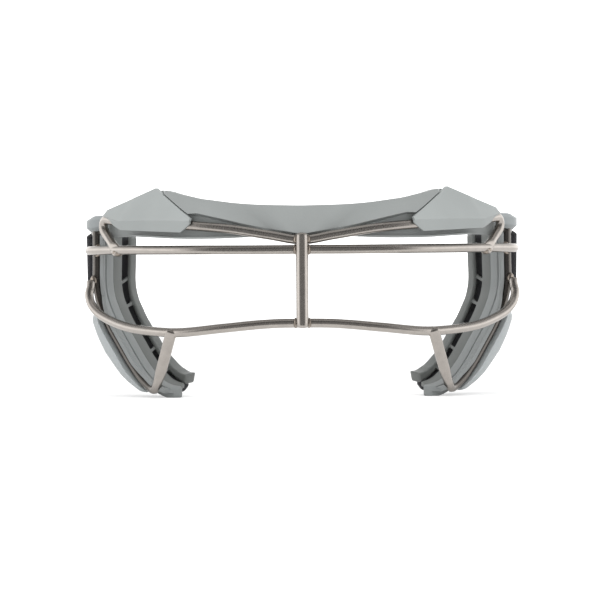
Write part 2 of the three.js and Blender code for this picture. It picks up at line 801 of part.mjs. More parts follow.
// Strap: one webbing band. Each end comes from the back of the head, runs round its bar and
// lies back on itself through the slider
const loopRadius = strapBarRadius + weldClearance + strapThickness / 2;
const strapHeadShares = [
  [0, 1, 1], [0.2, 0.992, 0.998], [0.4, 0.965, 0.99], [0.585, 0.905, 0.965], [0.745, 0.82, 0.93],
  [0.86, 0.72, 0.86], [0.925, 0.615, 0.74], [0.9475, 0.51, 0.6],
];
const strapTiltShares = [[0, 1], [0.4, 0.95], [0.6, 0.75], [0.75, 0.3], [0.9, 0]];
const strapLoopSteps = 8;

function strapRing(centre, thick, up) {
  const corner = (a, b) => centre.clone()
    .addScaledVector(thick, a * strapThickness / 2)
    .addScaledVector(up, b * strapWidth / 2);
  return [corner(1, 1), corner(1, -1), corner(-1, -1), corner(-1, 1)];
}

// The head run, from the middle of the back to the loop, is drawn in and tilted to sit on the head
const loopBack = onStrap(strapLoopLength, strapLayer, 0);
const headPoints = strapHeadShares.map(([across, back, rise]) => new THREE.Vector3(
  across * halfWidth,
  strapCentre.y + back * strapBackDepth,
  strapCentre.z + rise * strapRise,
));
const loopLead = onStrap(strapLoopLength - strapWidth / 2, strapLayer, 0);
const headRun = curveThrough([...headPoints, loopBack, loopLead]);
function headRing(share) {
  const centre = headRun.getPointAt(share);
  const forward = headRun.getTangentAt(share);
  const tilt = along(strapTiltShares, share) * THREE.MathUtils.degToRad(strapTiltDegrees);
  const inward = new THREE.Vector3(-centre.x, strapCentre.y - centre.y, 0).normalize();
  const up = strapUp.clone().multiplyScalar(Math.cos(tilt));
  up.addScaledVector(inward, Math.sin(tilt));
  up.addScaledVector(forward, -up.dot(forward)).normalize();
  return strapRing(centre, up.clone().cross(forward).normalize(), up);
}
function loopRing(a, s, turn) {
  const thick = strapSide.clone().multiplyScalar(Math.cos(turn));
  thick.addScaledVector(strapAlong, -Math.sin(turn));
  return strapRing(onStrap(a, s, 0), thick, strapUp);
}
const headRings = [];
for (let i = 0; i < strapSteps; i++) headRings.push(headRing(i / strapSteps));
const loopRings = [
  loopRing(strapLoopLength - strapWidth, strapLayer, 0), loopRing(loopEase, strapLayer, 0),
];
for (let i = 0; i <= strapLoopSteps; i++) {
  const turn = Math.PI * i / strapLoopSteps;
  loopRings.push(loopRing(-loopRadius * Math.sin(turn), loopRadius * Math.cos(turn), turn));
}
loopRings.push(loopRing(loopEase, -strapLayer, Math.PI));
loopRings.push(loopRing(strapLoopLength, -strapLayer, Math.PI));
const rightRings = [...headRings, ...loopRings];
const leftRings = rightRings.slice(1).reverse().map(
  (ring) => ring.map((point) => new THREE.Vector3(-point.x, point.y, point.z)));
foam('head_strap', loft([...leftRings, ...rightRings]), webbingColour);

// Slider: a closed frame with a middle wall between the two layers of the strap
function strapBlock(from, to, sideLow, sideHigh, halfUp) {
  return loft([from, to].map((a) => [
    onStrap(a, sideHigh, halfUp), onStrap(a, sideHigh, -halfUp),
    onStrap(a, sideLow, -halfUp), onStrap(a, sideLow, halfUp),
  ]));
}
const layerHalf = strapThickness / 2 + fitClearance;
const sliderOut = strapLayer + layerHalf + sliderWall;
const sliderUp = strapWidth / 2 + fitClearance + sliderWall;
const sliderFrom = sliderPlace - sliderLength / 2;
const sliderTo = sliderPlace + sliderLength / 2;
function sliderRing(a, inset) {
  const side = sliderOut - inset;
  const up = sliderUp - inset;
  const chamfer = sliderWall;
  return [
    onStrap(a, side, up - chamfer), onStrap(a, side, chamfer - up), onStrap(a, side - chamfer, -up),
    onStrap(a, chamfer - side, -up), onStrap(a, -side, chamfer - up), onStrap(a, -side, up - chamfer),
    onStrap(a, chamfer - side, up), onStrap(a, side - chamfer, up),
  ];
}
const sliderBevel = sliderWall / 3;
const sliderBody = loft([
  sliderRing(sliderFrom, sliderBevel), sliderRing(sliderFrom + sliderBevel, 0),
  sliderRing(sliderTo - sliderBevel, 0), sliderRing(sliderTo, sliderBevel),
]);
const windowTool = (layer) => strapBlock(
  sliderFrom - overrun, sliderTo + overrun, layer - layerHalf, layer + layerHalf,
  strapWidth / 2 + fitClearance);
const slider = cut(sliderBody, windowTool(strapLayer), windowTool(-strapLayer));
pair(plastic, 'strap_slider', slider, plasticDark);

// The origin is under the middle of the whole, on the level that the cheek guards stand on
const whole = new THREE.Box3().setFromObject(pieces);
const middle = whole.getCenter(new THREE.Vector3());
pieces.position.set(-middle.x, -middle.y, -whole.min.z);

export default pieces;
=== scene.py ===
"""Lacrosse goggles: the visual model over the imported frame.

It is drawn in the working frame of the CAD source, in millimetres, and moved to the row frame by
the place of the nose bridge rod.
"""
import math
import bpy
import bmesh
import numpy as np
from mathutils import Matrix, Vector


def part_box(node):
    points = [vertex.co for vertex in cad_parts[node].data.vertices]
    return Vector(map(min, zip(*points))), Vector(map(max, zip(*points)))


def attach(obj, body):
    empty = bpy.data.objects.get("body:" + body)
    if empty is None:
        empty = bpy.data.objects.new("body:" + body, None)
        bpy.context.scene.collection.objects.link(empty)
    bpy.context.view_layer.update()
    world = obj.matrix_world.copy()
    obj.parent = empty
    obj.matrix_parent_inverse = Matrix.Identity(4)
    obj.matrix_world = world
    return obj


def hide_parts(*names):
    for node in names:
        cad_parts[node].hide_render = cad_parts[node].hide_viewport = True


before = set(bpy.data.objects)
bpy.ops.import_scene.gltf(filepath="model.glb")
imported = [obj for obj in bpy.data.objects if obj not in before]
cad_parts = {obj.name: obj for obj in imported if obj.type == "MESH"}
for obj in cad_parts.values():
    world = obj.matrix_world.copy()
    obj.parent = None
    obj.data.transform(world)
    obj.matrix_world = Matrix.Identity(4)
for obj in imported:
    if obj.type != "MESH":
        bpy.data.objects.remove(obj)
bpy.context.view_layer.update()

# Sizes in millimetres. Tables of places are in shares of half width, wrap depth and frame height
MM = 1000
HALF_WIDTH = 88.0
WRAP_DEPTH = 56.0
FRAME_HEIGHT = 84.0
WRAP_POWER = 3
WIRE = 1.8
BRIDGE = 2.4
BRIDGE_BELOW = 3.0
BRIDGE_SIDES = 10
WELD_GAP = 0.3
FIT = 0.35
FOOT = -0.4506
FLOOR_UP = FOOT * FRAME_HEIGHT

# How finely curves and bars are drawn
CURVE_STEPS = 48
TANGENT_STEP = 0.12
RING_STEP = 1.1
ROUND_TURNS = (0.15, 0.45, 0.8, 1.15)
CORNER_SHARE = 0.45
HALVINGS = 24
CLOSE = 1e-4
TINY = 1e-6

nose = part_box("nose_bridge_rod")
SHIFT_Y = nose[0][1] * MM + BRIDGE_BELOW + BRIDGE * math.cos(math.pi / BRIDGE_SIDES)
SHIFT_Z = -FLOOR_UP


def vec(*values):
    return np.array(values, float)


def unit(v):
    return v / np.linalg.norm(v)


def to_row(p):
    """A point of the drawing, in millimetres, as a place in the row frame, in metres."""
    return (p[0] / MM, (p[1] + SHIFT_Y) / MM, (p[2] + SHIFT_Z) / MM)


def place(shares):
    return vec(shares[0] * HALF_WIDTH, shares[1] * WRAP_DEPTH, shares[2] * FRAME_HEIGHT)


def mirror(points):
    return [vec(-p[0], p[1], p[2]) for p in points]


def along(rows, share):
    return float(np.interp(share, [r[0] for r in rows], [r[1] for r in rows]))


def ease(t):
    t = min(max(t, 0.0), 1.0)
    return t * t * (3 - 2 * t)


def lengths(points):
    """The way covered at each point of a run of points."""
    steps = np.linalg.norm(np.diff(np.array(points), axis=0), axis=1)
    return np.concatenate([[0], np.cumsum(steps)])


class Curve:
    """A smooth centripetal curve through points, measured by its length."""

    def __init__(self, points):
        self.points = [np.array(p, float) for p in points]
        count = (len(self.points) - 1) * CURVE_STEPS
        self.samples = np.array([self.raw(i / count) for i in range(count + 1)])
        self.reach = lengths(self.samples)
        self.length = float(self.reach[-1])

    def raw(self, t):
        pts = self.points
        last = len(pts) - 1
        p = last * t
        i = int(math.floor(p))
        w = p - i
        if i >= last:
            i, w = last - 1, 1.0
        p0 = pts[i - 1] if i > 0 else 2 * pts[0] - pts[1]
        p1, p2 = pts[i], pts[i + 1]
        p3 = pts[i + 2] if i + 2 <= last else 2 * pts[last] - pts[last - 1]
        d0, d1, d2 = [np.dot(step, step) ** 0.25 for step in (p0 - p1, p1 - p2, p2 - p3)]
        d1 = d1 if d1 > CLOSE else 1.0
        d0 = d0 if d0 > CLOSE else d1
        d2 = d2 if d2 > CLOSE else d1
        t1 = ((p1 - p0) / d0 - (p2 - p0) / (d0 + d1) + (p2 - p1) / d1) * d1
        t2 = ((p2 - p1) / d1 - (p3 - p1) / (d1 + d2) + (p3 - p2) / d2) * d1
        square = -3 * p1 + 3 * p2 - 2 * t1 - t2
        cube = 2 * p1 - 2 * p2 + t1 + t2
        return p1 + t1 * w + square * w ** 2 + cube * w ** 3

    def at(self, share):
        s = share * self.length
        return vec(*[np.interp(s, self.reach, self.samples[:, k]) for k in range(3)])

    def tangent(self, share):
        d = TANGENT_STEP / self.length
        return unit(self.at(min(1.0, share + d)) - self.at(max(0.0, share - d)))

    def raw_across(self, across):
        """The point with the given X, on a curve that runs from left to right."""
        low, high = 0.0, 1.0
        for _ in range(HALVINGS):
            mid = (low + high) / 2
            if self.raw(mid)[0] < across:
                low = mid
            else:
                high = mid
        return self.raw(low)


# Meshes
def skin(rings):
    """Vertices and faces of a skin over rings of points, with its two ends closed."""
    sides = len(rings[0])
    verts = [p for ring in rings for p in ring]
    faces = []
    for i in range(len(rings) - 1):
        for k in range(sides):
            n = (k + 1) % sides
            faces.append((i * sides + k, i * sides + n, (i + 1) * sides + n, (i + 1) * sides + k))
    faces.append(tuple(reversed(range(sides))))
    faces.append(tuple(range((len(rings) - 1) * sides, len(rings) * sides)))
    return verts, faces


def rounded(section, radius, steps=4):
    """A closed section with each corner drawn round."""
    out = []
    count = len(section)
    for k in range(count):
        corner = np.array(section[k], float)
        before = np.array(section[k - 1], float) - corner
        after = np.array(section[(k + 1) % count], float) - corner
        size = radius[k] if isinstance(radius, (list, tuple)) else radius
        la, lb = np.linalg.norm(before), np.linalg.norm(after)
        reach = min(size, CORNER_SHARE * la, CORNER_SHARE * lb)
        a = corner + before / la * reach
        b = corner + after / lb * reach
        for i in range(steps + 1):
            t = i / steps
            out.append((1 - t) ** 2 * a + 2 * t * (1 - t) * corner + t ** 2 * b)
    return out


def tube(curve, radius, sides=24, round_ends=0.0, shape=None):
    """Rings of a round bar along a curve. shape(share, offset) may press it flat in places."""
    count = max(2, int(math.ceil(curve.length / RING_STEP)))
    stops = [(i / count, 1.0) for i in range(count + 1)]
    if round_ends:
        reach = round_ends / curve.length
        lead = [(reach * (1 - math.cos(a)), math.sin(a)) for a in ROUND_TURNS]
        middle = [stop for stop in stops if reach < stop[0] < 1 - reach]
        stops = lead + middle + [(1 - share, size) for share, size in reversed(lead)]
    rings = []
    side = vec(0, 1, 0)
    for share, size in stops:
        centre = curve.at(share)
        forward = curve.tangent(share)
        side = side - forward * np.dot(side, forward)
        if np.linalg.norm(side) < TINY:
            side = vec(1, 0, 0) - forward * forward[0]
        side = unit(side)
        other = np.cross(forward, side)
        ring = []
        for k in range(sides):
            a = 2 * math.pi * (k + 0.5) / sides
            offset = side * math.cos(a) + other * math.sin(a)
            if shape:
                offset = shape(share, offset)
            ring.append(centre + radius * size * offset)
        rings.append(ring)
    return rings


def mesh_of(name, verts, faces, uvs=None):
    mesh = bpy.data.meshes.new(name)
    mesh.from_pydata([to_row(p) for p in verts], [], [tuple(f) for f in faces])
    if uvs is not None:
        layer = mesh.uv_layers.new(name="along")
        for poly in mesh.polygons:
            for loop, uv in zip(poly.loop_indices, uvs[poly.index]):
                layer.data[loop].uv = uv
    bm = bmesh.new()
    bm.from_mesh(mesh)
    bmesh.ops.recalc_face_normals(bm, faces=bm.faces)
    if bm.calc_volume(signed=True) < 0:
        bmesh.ops.reverse_faces(bm, faces=bm.faces)
    bm.to_mesh(mesh)
    bm.free()
    mesh.validate()
    return mesh


def joined(*parts):
    """Several skins as one list of vertices and faces."""
    verts, faces = [], []
    for v, f in parts:
        base = len(verts)
        verts.extend(v)
        faces.extend(tuple(i + base for i in face) for face in f)
    return verts, faces


def new_object(name, data):
    obj = bpy.data.objects.new(name, data)
    bpy.context.scene.collection.objects.link(obj)
    return obj


def cut_by(obj, cutters):
    """Takes the cutters' space out of obj, for good."""
    for verts, faces in cutters:
        tool = new_object("tool", mesh_of("tool", verts, faces))
        mod = obj.modifiers.new("cut", "BOOLEAN")
        mod.operation = "DIFFERENCE"
        mod.solver = "EXACT"
        mod.object = tool
        bpy.context.view_layer.update()
        evaluated = obj.evaluated_get(bpy.context.evaluated_depsgraph_get())
        mesh = bpy.data.meshes.new_from_object(evaluated)
        obj.modifiers.remove(mod)
        obj.data = mesh
        bpy.data.objects.remove(tool)


def piece(name, shape, material, nodes=(), body="goggles", slot=None, bevel=0.0, sharp=38,
          bevel_angle=32, cutters=(), uvs=None):
    """One object of the scene: it rides with a body and stands for the CAD nodes that it names."""
    verts, faces = shape
    obj = new_object(name, mesh_of(name, verts, faces, uvs))
    if cutters:
        cut_by(obj, cutters)
    mesh = obj.data
    mesh.shade_smooth()
    mesh.materials.clear()
    mesh.materials.append(material)
    if bevel:
        mod = obj.modifiers.new("edges", "BEVEL")
        mod.limit_method = "ANGLE"
        mod.angle_limit = math.radians(bevel_angle)
        mod.width = bevel / MM
        mod.segments = 3
        mod.use_clamp_overlap = True
        mod.harden_normals = False
        weight = obj.modifiers.new("shading", "WEIGHTED_NORMAL")
        weight.keep_sharp = True
    else:
        mesh.set_sharp_from_angle(angle=math.radians(sharp))
    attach(obj, body)
    if nodes:
        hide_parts(*nodes)
    return obj


def both(name, shape, material, **options):
    """The right piece and its mirror image."""
    verts, faces = shape
    made = []
    for side in ("right", "left"):
        keep = verts if side == "right" else mirror(verts)
        settings = dict(options)
        settings["nodes"] = [f"{node}_{side}" for node in options.get("nodes", ())]
        settings["cutters"] = [
            (v if side == "right" else mirror(v), f) for v, f in options.get("cutters", ())]
        if options.get("body", "").startswith("slider"):
            settings["body"] = f"slider_{side}"
        made.append(piece(f"{name}_{side}", (keep, faces), material, **settings))
    return made


# Materials
def material(name):
    mat = bpy.data.materials.new(name)
    mat.use_nodes = True
    tree = mat.node_tree
    return mat, tree, tree.nodes["Principled BSDF"]


def own_place(tree):
    """The place on the piece itself, in metres."""
    return tree.nodes.new("ShaderNodeTexCoord").outputs["Object"]


def feed(tree, node, values):
    """Fills the inputs, in order or by name, each with a value or with the output of a node."""
    if not isinstance(values, dict):
        values = dict(enumerate(values))
    for name, value in values.items():
        if isinstance(value, bpy.types.NodeSocket):
            tree.links.new(value, node.inputs[name])
        else:
            node.inputs[name].default_value = value
    return node.outputs


def add_node(tree, kind, values):
    return feed(tree, tree.nodes.new("ShaderNode" + kind), values)


def noise(tree, scale, detail, rough):
    values = {"Vector": own_place(tree), "Scale": scale, "Detail": detail, "Roughness": rough}
    return add_node(tree, "TexNoise", values)["Fac"]


def spread(tree, source, low, high, start=0.3, end=0.7, kind="LINEAR"):
    """Turns a pattern or a place between start and end into values between low and high."""
    node = tree.nodes.new("ShaderNodeMapRange")
    node.interpolation_type = kind
    return feed(tree, node, [source, start, end, low, high])["Result"]


def tint(tree, factor, colour, dark, light):
    """The colour between two multiples of itself."""
    ramp = tree.nodes.new("ShaderNodeValToRGB")
    for stop, position, share in zip(ramp.color_ramp.elements, (0.32, 0.68), (dark, light)):
        stop.position = position
        stop.color = (*[min(1, c * share) for c in linear(*colour)], 1)
    return feed(tree, ramp, {"Fac": factor})["Color"]


def bump(tree, shader, height, distance, strength, under=None):
    values = {"Height": height, "Distance": distance, "Strength": strength}
    if under is not None:
        values["Normal"] = under
    normal = add_node(tree, "Bump", values)["Normal"]
    feed(tree, shader, {"Normal": normal})
    return normal


def math_node(tree, kind, *values):
    node = tree.nodes.new("ShaderNodeMath")
    node.operation = kind
    return feed(tree, node, values)[0]


def linear(r, g, b):
    """A screen colour of 0 to 255 as linear light."""
    return tuple(((c / 255 + 0.055) / 1.055) ** 2.4 if c > 10 else c / 255 / 12.92 for c in (r, g, b))


def plastic(name, colour, roughness=0.36):
    """Moulded nylon: an even colour with slight flow clouds and a fine spark-eroded grain."""
    mat, tree, shader = material(name)
    clouds = noise(tree, scale=42, detail=3, rough=0.55)
    grain = noise(tree, scale=5200, detail=2, rough=0.6)
    feed(tree, shader, {
        "Base Color": tint(tree, clouds, colour, dark=0.955, light=1.035),
        "Roughness": spread(tree, grain, roughness - 0.05, roughness + 0.07),
        "IOR": 1.5,
        "Specular IOR Level": 0.42,
    })
    waves = noise(tree, scale=150, detail=2, rough=0.5)
    first = bump(tree, shader, waves, distance=0.00003, strength=0.35)
    bump(tree, shader, grain, distance=0.000012, strength=0.7, under=first)
    return mat


# How dark the painted shade makes the rod where it lies in its groove, as a share of its colour
PAINTED_SHADE = 0.32


def steel(name, colour, roughness, worn=False, painted_shade=None):
    """Satin nickel-plated wire with a fine grain. The last argument holds two depths along Y over which
    the colour darkens, as painted shade where the rod lies deep in its groove.
    """
    mat, tree, shader = material(name)
    clouds = noise(tree, scale=260, detail=4, rough=0.62)
    shade = tint(tree, clouds, colour, dark=0.76 if worn else 0.93, light=1.04)
    # Painted shade: from the first depth to the second along Y the colour darkens to about a third of
    # itself, where the rod lies in the shade of its groove
    if painted_shade:
        depth = add_node(tree, "SeparateXYZ", [own_place(tree)])["Y"]
        groove_shade = spread(tree, depth, 1.0, PAINTED_SHADE, *painted_shade)
        groove_shade_node = tree.nodes.new("ShaderNodeVectorMath")
        groove_shade_node.operation = "SCALE"
        shade = feed(tree, groove_shade_node, {"Vector": shade, "Scale": groove_shade})["Vector"]
    grain = noise(tree, scale=6000, detail=2, rough=0.5)
    gloss = spread(tree, grain, roughness - 0.03, roughness + 0.05)
    feed(tree, shader, {"Base Color": shade, "Roughness": gloss, "Metallic": 1.0})
    first = bump(tree, shader, clouds, distance=0.00004, strength=0.6 if worn else 0.08)
    bump(tree, shader, grain, distance=0.00002, strength=0.16, under=first)
    return mat


def fabric(tree, shader, shade, roughness, sheen, sheen_roughness):
    feed(tree, shader, {
        "Base Color": shade, "Roughness": roughness, "Sheen Weight": sheen,
        "Sheen Roughness": sheen_roughness,
    })


def foam(name, colour):
    """Skinned closed-cell foam."""
    mat, tree, shader = material(name)
    cells = add_node(tree, "TexVoronoi", {"Vector": own_place(tree), "Scale": 1500})["Distance"]
    clouds = noise(tree, scale=90, detail=3, rough=0.6)
    shade = tint(tree, clouds, colour, dark=0.8, light=1.2)
    fabric(tree, shader, shade, roughness=0.82, sheen=0.15, sheen_roughness=0.5)
    first = bump(tree, shader, clouds, distance=0.00018, strength=0.5)
    bump(tree, shader, cells, distance=0.00012, strength=0.6, under=first)
    return mat


YARN_ROW = 0.95
YARN_PITCH = 1.25


def webbing(name, colour):
    """Woven elastic: ribs of yarn across the band, held by rows of warp along it."""
    mat, tree, shader = material(name)

    def calc(kind, *values):
        return math_node(tree, kind, *values)

    uv = tree.nodes.new("ShaderNodeUVMap")
    uv.uv_map = "along"
    run, across, _ = add_node(tree, "SeparateXYZ", [uv.outputs["UV"]])
    row = calc("FLOOR", calc("MULTIPLY", across, 1 / YARN_ROW))
    along_run = calc("MULTIPLY", run, 2 * math.pi / YARN_PITCH)
    shifted = calc("ADD", along_run, calc("MULTIPLY", row, math.pi))
    weft = calc("ABSOLUTE", calc("SINE", calc("MULTIPLY", shifted, 0.5)))
    warp = calc("ABSOLUTE", calc("SINE", calc("MULTIPLY", across, math.pi / YARN_ROW)))
    # The colour follows the weave's relief: darker in its hollows as painted shade, with the fuzz adding
    # a random tone of the yarn
    height = calc("MULTIPLY", calc("POWER", weft, 0.6), calc("POWER", warp, 0.5))
    fuzz = noise(tree, scale=2600, detail=3, rough=0.7)
    mixed = calc("ADD", calc("MULTIPLY", height, 0.8), calc("MULTIPLY", fuzz, 0.3))
    shade = tint(tree, mixed, colour, dark=0.45, light=1.5)
    fabric(tree, shader, shade, roughness=0.74, sheen=0.06, sheen_roughness=0.45)
    bump(tree, shader, mixed, distance=0.0002, strength=0.8)
    return mat


brow_plastic = plastic("brow_plastic", (159, 163, 162))
wing_plastic = plastic("wing_plastic", (174, 179, 178), 0.42)
frame_plastic = plastic("frame_plastic", (152, 156, 156))
cover_plastic = plastic("cover_plastic", (198, 204, 205), 0.34)
arm_plastic = plastic("arm_plastic", (164, 169, 170), 0.34)
carrier_plastic = plastic("carrier_plastic", (119, 122, 120), 0.36)
slider_plastic = plastic("slider_plastic", (44, 46, 50), 0.4)
wire_steel = steel("wire_steel", (174, 168, 162), 0.25)
# The side rod gets painted shade along its groove; the strut at the front keeps the plain colour
rod_steel = steel("rod_steel", (174, 168, 162), 0.27, painted_shade=(-0.070, -0.064))
weld_steel = steel("weld_steel", (160, 150, 140), 0.3, worn=True)
screw_steel = steel("screw_steel", (180, 178, 175), 0.28)
pad_foam = foam("pad_foam", (34, 35, 39))
strap_web = webbing("strap_web", (17, 17, 24))

# Cage of wires
UPPER_HEIGHT = 0.238
LOWER_HEIGHT = -0.099
UPPER = [
    (0, 0, UPPER_HEIGHT), (0.23, 0.012, UPPER_HEIGHT), (0.45, 0.091, 0.24), (0.65, 0.275, 0.243),
    (0.8, 0.512, 0.247), (0.9, 0.73, 0.25), (0.958, 0.868, 0.251),
]
UPPER_CORNER = (0.988, 1, 0.252)
UPPER_END = (0.945, 1, 0.252)
LOWER = [
    (0, 0, LOWER_HEIGHT), (0.15, 0.003, -0.102), (0.35, 0.043, -0.121), (0.54, 0.157, -0.14),
    (0.684, 0.32, -0.133), (0.78, 0.475, -0.118), (0.86, 0.636, -0.09), (0.93, 0.79, -0.05),
    (0.967, 0.87, -0.005), (0.978, 0.905, 0.04), (0.972, 0.925, 0.075),
]
LOWER_TOP = 0.108
LOWER_TURN = math.radians(36)
BROW_WIRE = [
    (0, 0, 0.282), (0.14, 0.003, 0.304), (0.316, 0.032, 0.334), (0.493, 0.12, 0.353),
    (0.66, 0.287, 0.364), (0.78, 0.475, 0.376), (0.86, 0.636, 0.39),
]
BROW_CORNER = (0.944, 0.837, 0.405)
BRACE_BEND = (0.872, 0.68, 0.3)
BRACE_ACROSS = 0.831
BRACE_DROP = 0.9
ROD_TOP = (0.945, 1, 0.37)
ROD = [
    (0.945, 1, 0.2), (0.945, 1, 0.09), (0.934, 0.99, 0.015), (0.912, 0.955, -0.05),
    (0.878, 0.905, -0.125), (0.83, 0.835, -0.21), (0.775, 0.755, -0.303), (0.725, 0.68, -0.37),
]
ELBOW = [(0.686, 0.622, -0.406), (0.669, 0.582, -0.412), (0.657, 0.537, -0.389)]
STRUT_ACROSS = 0.574
STRUT_LAP = vec(0.2, -2.2, 0.9)
BRIDGE_TOP = 0.315
BRIDGE_FOOT = -0.123
HOOK_RADIUS = 2.2
BRACE_RADIUS = 2.9
BEND_STEPS = 6


def two_sided(right):
    return mirror(right[1:])[::-1] + right


def bend(before, corner, after, radius):
    """Points round the bend of the given radius that turns a corner between two straight runs."""
    back, on = unit(before - corner), unit(after - corner)
    half = math.acos(float(np.dot(back, on))) / 2
    middle, across = unit(back + on), unit(on - back)
    centre = corner + middle * radius / math.sin(half)
    turns = [(math.pi - 2 * half) * (i / BEND_STEPS - 0.5) for i in range(BEND_STEPS + 1)]
    return [centre - middle * radius * math.cos(t) + across * radius * math.sin(t) for t in turns]


def turned(rows, corner, end, radius):
    """A run of places with a bend at its corner and a straight end."""
    run = [place(p) for p in rows]
    return run + bend(run[-1], place(corner), place(end), radius) + [place(end)]


upper_curve = Curve(two_sided(turned(UPPER, UPPER_CORNER, UPPER_END, HOOK_RADIUS)))
rod_axis = place(ROD_TOP)
lap = 2 * WIRE + WELD_GAP
lower_end = vec(rod_axis[0] + lap * math.sin(LOWER_TURN), rod_axis[1] - lap * math.cos(LOWER_TURN),
                LOWER_TOP * FRAME_HEIGHT)
lower_curve = Curve(two_sided([place(p) for p in LOWER] + [lower_end]))
brace_end = upper_curve.raw_across(BRACE_ACROSS * HALF_WIDTH) + vec(0, -WIRE - WELD_GAP, -BRACE_DROP)
brow_run = turned(BROW_WIRE, BROW_CORNER, BRACE_BEND, BRACE_RADIUS)
brow_curve = Curve(two_sided(brow_run + [brace_end]))
strut_end = lower_curve.raw_across(STRUT_ACROSS * HALF_WIDTH) + STRUT_LAP
rod_curve = Curve([rod_axis] + [place(p) for p in ROD + ELBOW] + [strut_end])
bridge_curve = Curve([vec(0, -BRIDGE_BELOW, up * FRAME_HEIGHT) for up in (BRIDGE_TOP, BRIDGE_FOOT)])


def wire(name, bar, node, material=wire_steel, make=piece):
    make(name, skin(bar), material, nodes=[node], slot="steel_wire", sharp=60)


# The ends of the brow wire, the braces, are ground flat where they lap the upper wire
BRACE_FACE = vec(0, -1, -0.35)
BRACE_FLAT_RUN = 2.5
BRACE_FADE_RUN = 3.5
BRACE_FLAT = 0.35
BRACE_FULL = 0.7
BRACE_SPREAD = 0.25
brace_line = unit(brace_end - place(BRACE_BEND))


def brace_shape(share, offset):
    run = (1 - abs(2 * share - 1)) / 2 * brow_curve.length
    line = brace_line if share > 0.5 else brace_line * vec(-1, 1, 1)
    front = unit(BRACE_FACE - line * np.dot(BRACE_FACE, line))
    away = ease((run - BRACE_FLAT_RUN) / BRACE_FADE_RUN)
    limit = BRACE_FLAT + BRACE_FULL * away
    depth = float(np.dot(offset, front))
    across = np.cross(line, front)
    widened = across * np.dot(offset, across) * BRACE_SPREAD * (1 - away)
    return offset + front * (min(depth, limit) - depth) + widened


# The strut, from the elbow to the lower wire, is pressed flat to face the front
STRUT_ROUND = 0.7
STRUT_FADE = 0.3
STRUT_SQUARE = 0.45
STRUT_WIDER = 0.22
STRUT_THINNER = 0.2
strut_line = strut_end - place(ELBOW[-1])
strut_wide = unit(np.cross(strut_line, vec(0, 1, 0)))
strut_deep = unit(np.cross(strut_wide, strut_line))


def strut_shape(share, offset):
    left = (1 - share) * rod_curve.length / np.linalg.norm(strut_line)
    flat = 1 - ease((left - STRUT_ROUND) / STRUT_FADE)
    wide, deep = float(np.dot(offset, strut_wide)), float(np.dot(offset, strut_deep))
    square = math.copysign(abs(deep) ** (1 - STRUT_SQUARE * flat), deep)
    wider = strut_wide * wide * STRUT_WIDER * flat
    return offset + wider + strut_deep * (square * (1 - STRUT_THINNER * flat) - deep)


wire("upper_wire_bar", tube(upper_curve, WIRE, round_ends=0.8), "upper_wire")
wire("lower_wire_bar", tube(lower_curve, WIRE, round_ends=0.6), "lower_wire")
wire("brow_wire_bar", tube(brow_curve, WIRE, round_ends=0.4, shape=brace_shape),
     "brow_wire")
wire("bridge_bar", tube(bridge_curve, BRIDGE, sides=32, round_ends=0.9),
     "nose_bridge_rod")
wire("side_rod_bar", tube(rod_curve, WIRE, round_ends=0.8, shape=strut_shape),
     "side_rod", rod_steel, both)

# Weld beads
BEAD_STEPS = 8
BEAD_SIDES = 20
BEAD_END = 0.985
ASKEW = vec(0.31, 0.17, 0.93)


def bead(centre, axis, radius, length, lumps, seed):
    """A short swollen ring round a bar, a little uneven."""
    axis = unit(axis)
    side = unit(np.cross(axis, ASKEW))
    other = np.cross(axis, side)
    rings = []
    for i in range(BEAD_STEPS + 1):
        t = -1 + 2 * i / BEAD_STEPS
        ring = []
        for k in range(BEAD_SIDES):
            a = 2 * math.pi * k / BEAD_SIDES
            wave = 1 + lumps * (math.sin(3 * a + seed) + 0.6 * math.sin(5 * a + 2.1 * seed + t))
            r = radius * math.sqrt(max(0.0, 1 - (t * BEAD_END) ** 2)) * wave
            ring.append(centre + axis * length * t + side * r * math.cos(a) + other * r * math.sin(a))
        rings.append(ring)
    return skin(rings)


BRIDGE_BEAD = vec(BRIDGE + 0.15, -1.2, 0)
BROW_BEAD = vec(BRIDGE - 0.1, -1.5, 0.286 * FRAME_HEIGHT)
welds = []
for up in (UPPER_HEIGHT, LOWER_HEIGHT):
    for side in (-1, 1):
        centre = BRIDGE_BEAD * vec(side, 1, 1) + vec(0, 0, up * FRAME_HEIGHT)
        welds.append(bead(centre, vec(1, 0, 0), 2.05, 0.95, lumps=0.05, seed=side + up * 9))
for side in (-1, 1):
    centre = BROW_BEAD * vec(side, 1, 1)
    welds.append(bead(centre, vec(1, 0, 0.2 * side), 1.9, 1.1, lumps=0.05, seed=side))
piece("bridge_welds", joined(*welds), weld_steel, slot="steel_wire", sharp=60)

crossing = rod_curve.at((ROD_TOP[2] - UPPER_END[2]) * FRAME_HEIGHT / rod_curve.length)
lap_middle = (lower_end + rod_axis * vec(1, 1, 0) + vec(0, 0, lower_end[2])) / 2
side_welds = [
    bead(crossing + vec(-0.8, -1.2, up), vec(0.3, 0.2, 1), 1.5, 0.8, lumps=0.09, seed=up)
    for up in (1.9, -1.9)]
side_welds += [
    bead(lap_middle + vec(0, -0.3, 0.1), vec(0.2, 0.1, 1), 1.45, 2.0, lumps=0.05, seed=0.6),
    bead(brace_end + vec(0, 1.4, -0.2), vec(1, 0.45, 0), 1.5, 2.4, lumps=0.05, seed=1.7),
    bead(strut_end + vec(0, 1.5, -1.6), vec(1, 0.2, 0), 1.5, 2.3, lumps=0.05, seed=2.9),
]
both("side_welds", joined(*side_welds), weld_steel, slot="steel_wire", sharp=60)


